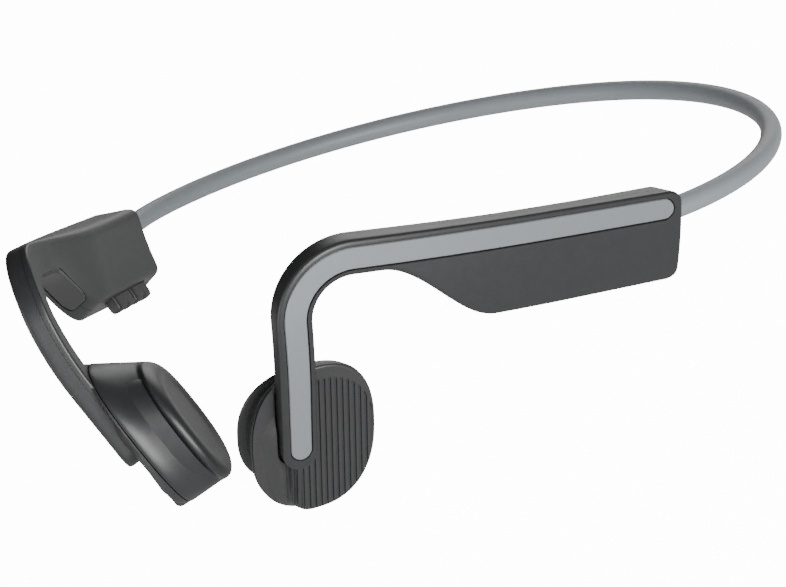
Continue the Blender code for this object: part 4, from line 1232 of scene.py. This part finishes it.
@dataclass
class Port:
    """The charging inlet's pocket in the right pod's slope, and its rubber flap."""

    run: float = 45.6
    half_run: float = 5.9
    levels: tuple[float, float] = (1.0, 5.2)
    thick: float = 1.0
    edge: float = 0.25
    pocket_spare: float = 0.12
    pocket_skins: tuple[float, float] = (-0.6, 1.15)
    socket: tuple[float, float] = (9.24, 3.5)
    socket_reach: tuple[float, float] = (0.6, 8.6)

    def patch(self, name: str, arm: Arm, spare: float, low: float, high: float) -> Surface:
        """A patch of the pod's lower side, between two depths under its surface.

        Args:
            name: Name of the surface.
            arm: The right arm, whose lower side it follows.
            spare: Extra size all round.
            low: Depth of its outer skin, below 0 for a cutter.
            high: Depth of its inner skin.

        Returns:
            The patch as a closed surface.
        """
        half = self.half_run + spare
        d = self.run + half * np.sin(np.linspace(-math.pi / 2, math.pi / 2, 57))
        middle = sum(self.levels) / 2.0
        reach = (self.levels[1] - self.levels[0]) / 2.0 + spare
        tall = reach * np.maximum(1.0 - np.abs((d - self.run) / half) ** 5, 1e-4) ** 0.2
        rows = np.linspace(-1.0, 1.0, 25)
        q = middle + tall[:, None] * rows
        corners = arm.corners(d)
        start, end = corners[3][:, None], corners[2][:, None]
        side = start + (end - start) * ((q - start[..., 1]) / (end[..., 1] - start[..., 1]))[..., None]
        rim = np.minimum(reach * (1.0 - np.abs(rows))[None], half - np.abs(d - self.run)[:, None])
        dome = round_in(rim, self.edge) if low >= 0.0 else np.zeros_like(rim)
        place = PATH.point(Side.RIGHT, d[:, None], side[..., 0], q)
        up = PATH.point(Side.RIGHT, d[:, None], side[..., 0] + 1.0, q) - place
        normal = np.cross(np.gradient(place, axis=0), np.gradient(place, axis=1))
        normal = unit(normal * np.sign((normal * up).sum(-1, keepdims=True)))
        surface = Surface(name)
        surface.sandwich(place + normal * (low + dome)[..., None], place + normal * high)
        return surface

    def pocket(self, arm: Arm) -> Surface:
        """What is taken out of the pod for the flap, a little larger than the flap."""
        return self.patch("pocket", arm, self.pocket_spare, *self.pocket_skins)

    def socket_hole(self, arm: Arm) -> Surface:
        """A slot with round ends that runs from the pocket to behind the socket."""
        ahead, behind = self.run + 3.0, self.run - 3.0
        edges = arm.corners(np.array([behind, self.run, ahead]))[3][:, 0]
        slope = math.degrees(math.atan2(edges[2] - edges[0], ahead - behind))
        axes = Axes.at(PATH.point, Side.RIGHT, self.run, float(edges[1]), 0.0).turned(slope)
        axes = axes.moved(0.0, 0.0, sum(self.levels) / 2.0)
        angles = np.arange(48) * math.tau / 48
        x, z = (size / 2.0 * np.sign(wave) * np.abs(wave) ** 0.35
                for size, wave in zip(self.socket, (np.cos(angles), np.sin(angles))))
        surface = Surface("socket_hole")
        surface.tube(axes.point(x[None], np.array(self.socket_reach)[:, None], z[None]))
        return surface


def carve(obj: bpy.types.Object, *cutters: Surface) -> None:
    """Takes closed surfaces out of a piece.

    Args:
        obj: The piece.
        cutters: Surfaces to take away, each gone afterwards.
    """
    for cutter in cutters:
        tool = cutter.build("right_side", SHELL)
        modifier = obj.modifiers.new("carve", "BOOLEAN")
        modifier.object, modifier.operation, modifier.solver = tool, "DIFFERENCE", "MANIFOLD"
        bpy.context.view_layer.update()
        graph = bpy.context.evaluated_depsgraph_get()
        carved = bpy.data.meshes.new_from_object(obj.evaluated_get(graph))
        obj.modifiers.clear()
        obj.data = carved
        bpy.data.objects.remove(tool)
    obj.data.set_sharp_from_angle(angle=SHARP)


# ------------------------------------------------------------------------------------ assembly


@dataclass
class Headphones:
    """Everything that shows, in order from the neckband to the transducers."""

    arms: dict[Side, Arm] = field(default_factory=lambda: {side: Arm(side) for side in Side})
    pads: dict[Side, Pad] = field(default_factory=lambda: {side: Pad(side) for side in Side})
    neckband: Neckband = field(default_factory=Neckband)
    buttons: Buttons = field(default_factory=Buttons)
    port: Port = field(default_factory=Port)

    def dress(self) -> None:
        """Builds every piece and gives the carried-over nodes their finishes."""
        self.neckband.dress()
        for side in Side:
            self.dress_side(side)
        self.dress_controls()
        for name, node in frame["nodes"].items():
            slot = node.data.materials[0].name.split(".")[0]
            node.data.materials[0] = FINISHES[slot].material()
            LOG.info("%s: %s", name, slot)

    def dress_side(self, side: Side) -> None:
        """Builds one side's shells, strip and transducer."""
        word, body, arm, pad = side.word, side.body, self.arms[side], self.pads[side]
        outer = arm.outer().build(body, SHELL, (f"{word}_outer_shell",))
        inner = arm.inner().build(body, SHELL, (f"{word}_inner_shell",))
        arm.strip().build(body, SILVER, (f"{word}_accent_strip",))
        plate_body = "multifunction_button" if side is Side.LEFT else body
        pad.plate().build(plate_body, PLATE, (f"{word}_ribbed_plate",))
        pad.housing().build(body, SHELL, (f"{word}_transducer_housing",))
        pad.cover().build(body, SHELL, (f"{word}_contact_cover",))
        if side is Side.RIGHT:
            for shell in (outer, inner):
                for name, run in self.buttons.runs:
                    axes = self.buttons.axes(arm, run)
                    carve(shell, self.buttons.block(f"{name}_slot", axes, *self.buttons.slot_spare))
                carve(shell, self.port.pocket(arm), self.port.socket_hole(arm))

    def dress_controls(self) -> None:
        """Builds the volume buttons and the port's flap."""
        arm = self.arms[Side.RIGHT]
        for name, run in self.buttons.runs:
            block = self.buttons.block(f"{name}_ridges", self.buttons.axes(arm, run), 0.0, 0.0)
            block.build(f"{name}_button", PLATE, (name,))
        flap = self.port.patch("port_flap_cover", arm, 0.0, 0.0, self.port.thick)
        flap.build("port_flap", RUBBER, ("port_cover",))


# ------------------------------------------------------------------------------------ stage


@dataclass(frozen=True)
class Lamp:
    """A soft square light that looks at the object's middle: place from it, side and power."""

    name: str
    place: tuple[float, float, float]
    size: float
    power: float

    def hang(self, target: np.ndarray) -> None:
        """Puts the light in the scene, looking at the target."""
        lamp = bpy.data.lights.new(self.name, "AREA")
        lamp.size, lamp.energy = self.size, self.power
        obj = bpy.data.objects.new(self.name, lamp)
        obj.location = Vector(target) + Vector(self.place)
        obj.rotation_euler = (-Vector(self.place)).to_track_quat("-Z", "Y").to_euler()
        bpy.context.scene.collection.objects.link(obj)


LAMPS = (
    Lamp("overhead", (0.0, 0.1, 1.2), 1.2, 0.3),
    Lamp("front_key", (0.62, -0.42, 0.17), 0.36, 9.0),
    Lamp("low_fill", (-0.3, -0.8, 0.1), 0.5, 3.5),
    Lamp("rear_fill", (-0.3, 0.8, 0.3), 0.6, 2.5),
)


@dataclass(frozen=True)
class Studio:
    """Pale floor, soft light and the camera.

    The floor and the sky are brighter where they are seen, `glow`, than where they light the object,
    `bounce` and `sky_bounce`.
    """

    camera_place: tuple[float, float, float] = (0.3490894, -0.4043396, 0.2584059)
    camera_turn: tuple[float, float, float] = (62.76, 19.8743, 31.5765)
    lens: float = 154.566
    sensor: float = 36.0
    floor_half: float = 4.0
    floor_drop: float = 0.0005
    glow: float = 14.0
    bounce: float = 0.35
    sky_bounce: float = 0.05

    def set(self) -> None:
        """Makes the floor, the lights, the sky and the camera."""
        low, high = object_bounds()
        middle = (np.array(low) + np.array(high)) / 2.0
        self.floor(low[2] - self.floor_drop, middle)
        self.sky()
        for lamp in LAMPS:
            lamp.hang(middle)
        camera = bpy.data.objects.new("camera", bpy.data.cameras.new("camera"))
        camera.data.lens, camera.data.sensor_width = self.lens, self.sensor
        camera.data.clip_start, camera.data.clip_end = 0.01, 50.0
        camera.location = self.camera_place
        camera.rotation_euler = Euler([math.radians(a) for a in self.camera_turn])
        bpy.context.scene.collection.objects.link(camera)
        bpy.context.scene.camera = camera

    def floor(self, level: float, middle: np.ndarray) -> None:
        """A square pale floor at a level, round the object's middle."""
        half = self.floor_half
        mesh = bpy.data.meshes.new("floor")
        corners = [(middle[0] + x * half, middle[1] + y * half, level)
                   for x, y in ((-1, -1), (1, -1), (1, 1), (-1, 1))]
        mesh.from_pydata(corners, [], [(0, 1, 2, 3)])
        material = bpy.data.materials.new("pale_floor")
        material.use_nodes = True
        shader = material.node_tree.nodes["Principled BSDF"]
        shader.inputs["Base Color"].default_value = (0.55, 0.55, 0.55, 1.0)
        shader.inputs["Roughness"].default_value = 0.9
        shader.inputs["Emission Color"].default_value = (1.0, 1.0, 1.0, 1.0)
        self.glow_by_ray(material.node_tree, shader.inputs["Emission Strength"], self.bounce)
        mesh.materials.append(material)
        floor = bpy.data.objects.new("floor", mesh)
        bpy.context.scene.collection.objects.link(floor)
        floor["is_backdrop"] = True

    def glow_by_ray(self, tree: bpy.types.NodeTree, strength: bpy.types.NodeSocket,
                    bounce: float) -> None:
        """Links a strength that is `glow` where it is seen and `bounce` where it lights things.

        Args:
            tree: Node tree that the strength belongs to.
            strength: The socket.
            bounce: What lights the object.
        """
        path = tree.nodes.new("ShaderNodeLightPath")
        mapped = tree.nodes.new("ShaderNodeMapRange")
        mapped.inputs["To Min"].default_value = bounce
        mapped.inputs["To Max"].default_value = self.glow
        tree.links.new(path.outputs["Is Camera Ray"], mapped.inputs["Value"])
        tree.links.new(mapped.outputs["Result"], strength)

    def sky(self) -> None:
        """A plain pale sky that adds a little even light."""
        world = bpy.data.worlds.new("sky")
        world.use_nodes = True
        background = world.node_tree.nodes["Background"]
        background.inputs["Color"].default_value = (1.0, 1.0, 1.0, 1.0)
        self.glow_by_ray(world.node_tree, background.inputs["Strength"], self.sky_bounce)
        bpy.context.scene.world = world


def main() -> None:
    """Builds the headphones and the studio."""
    logging.basicConfig(level=logging.INFO, format="%(message)s")
    Headphones().dress()
    Studio().set()


if __name__ == "__main__":
    main()
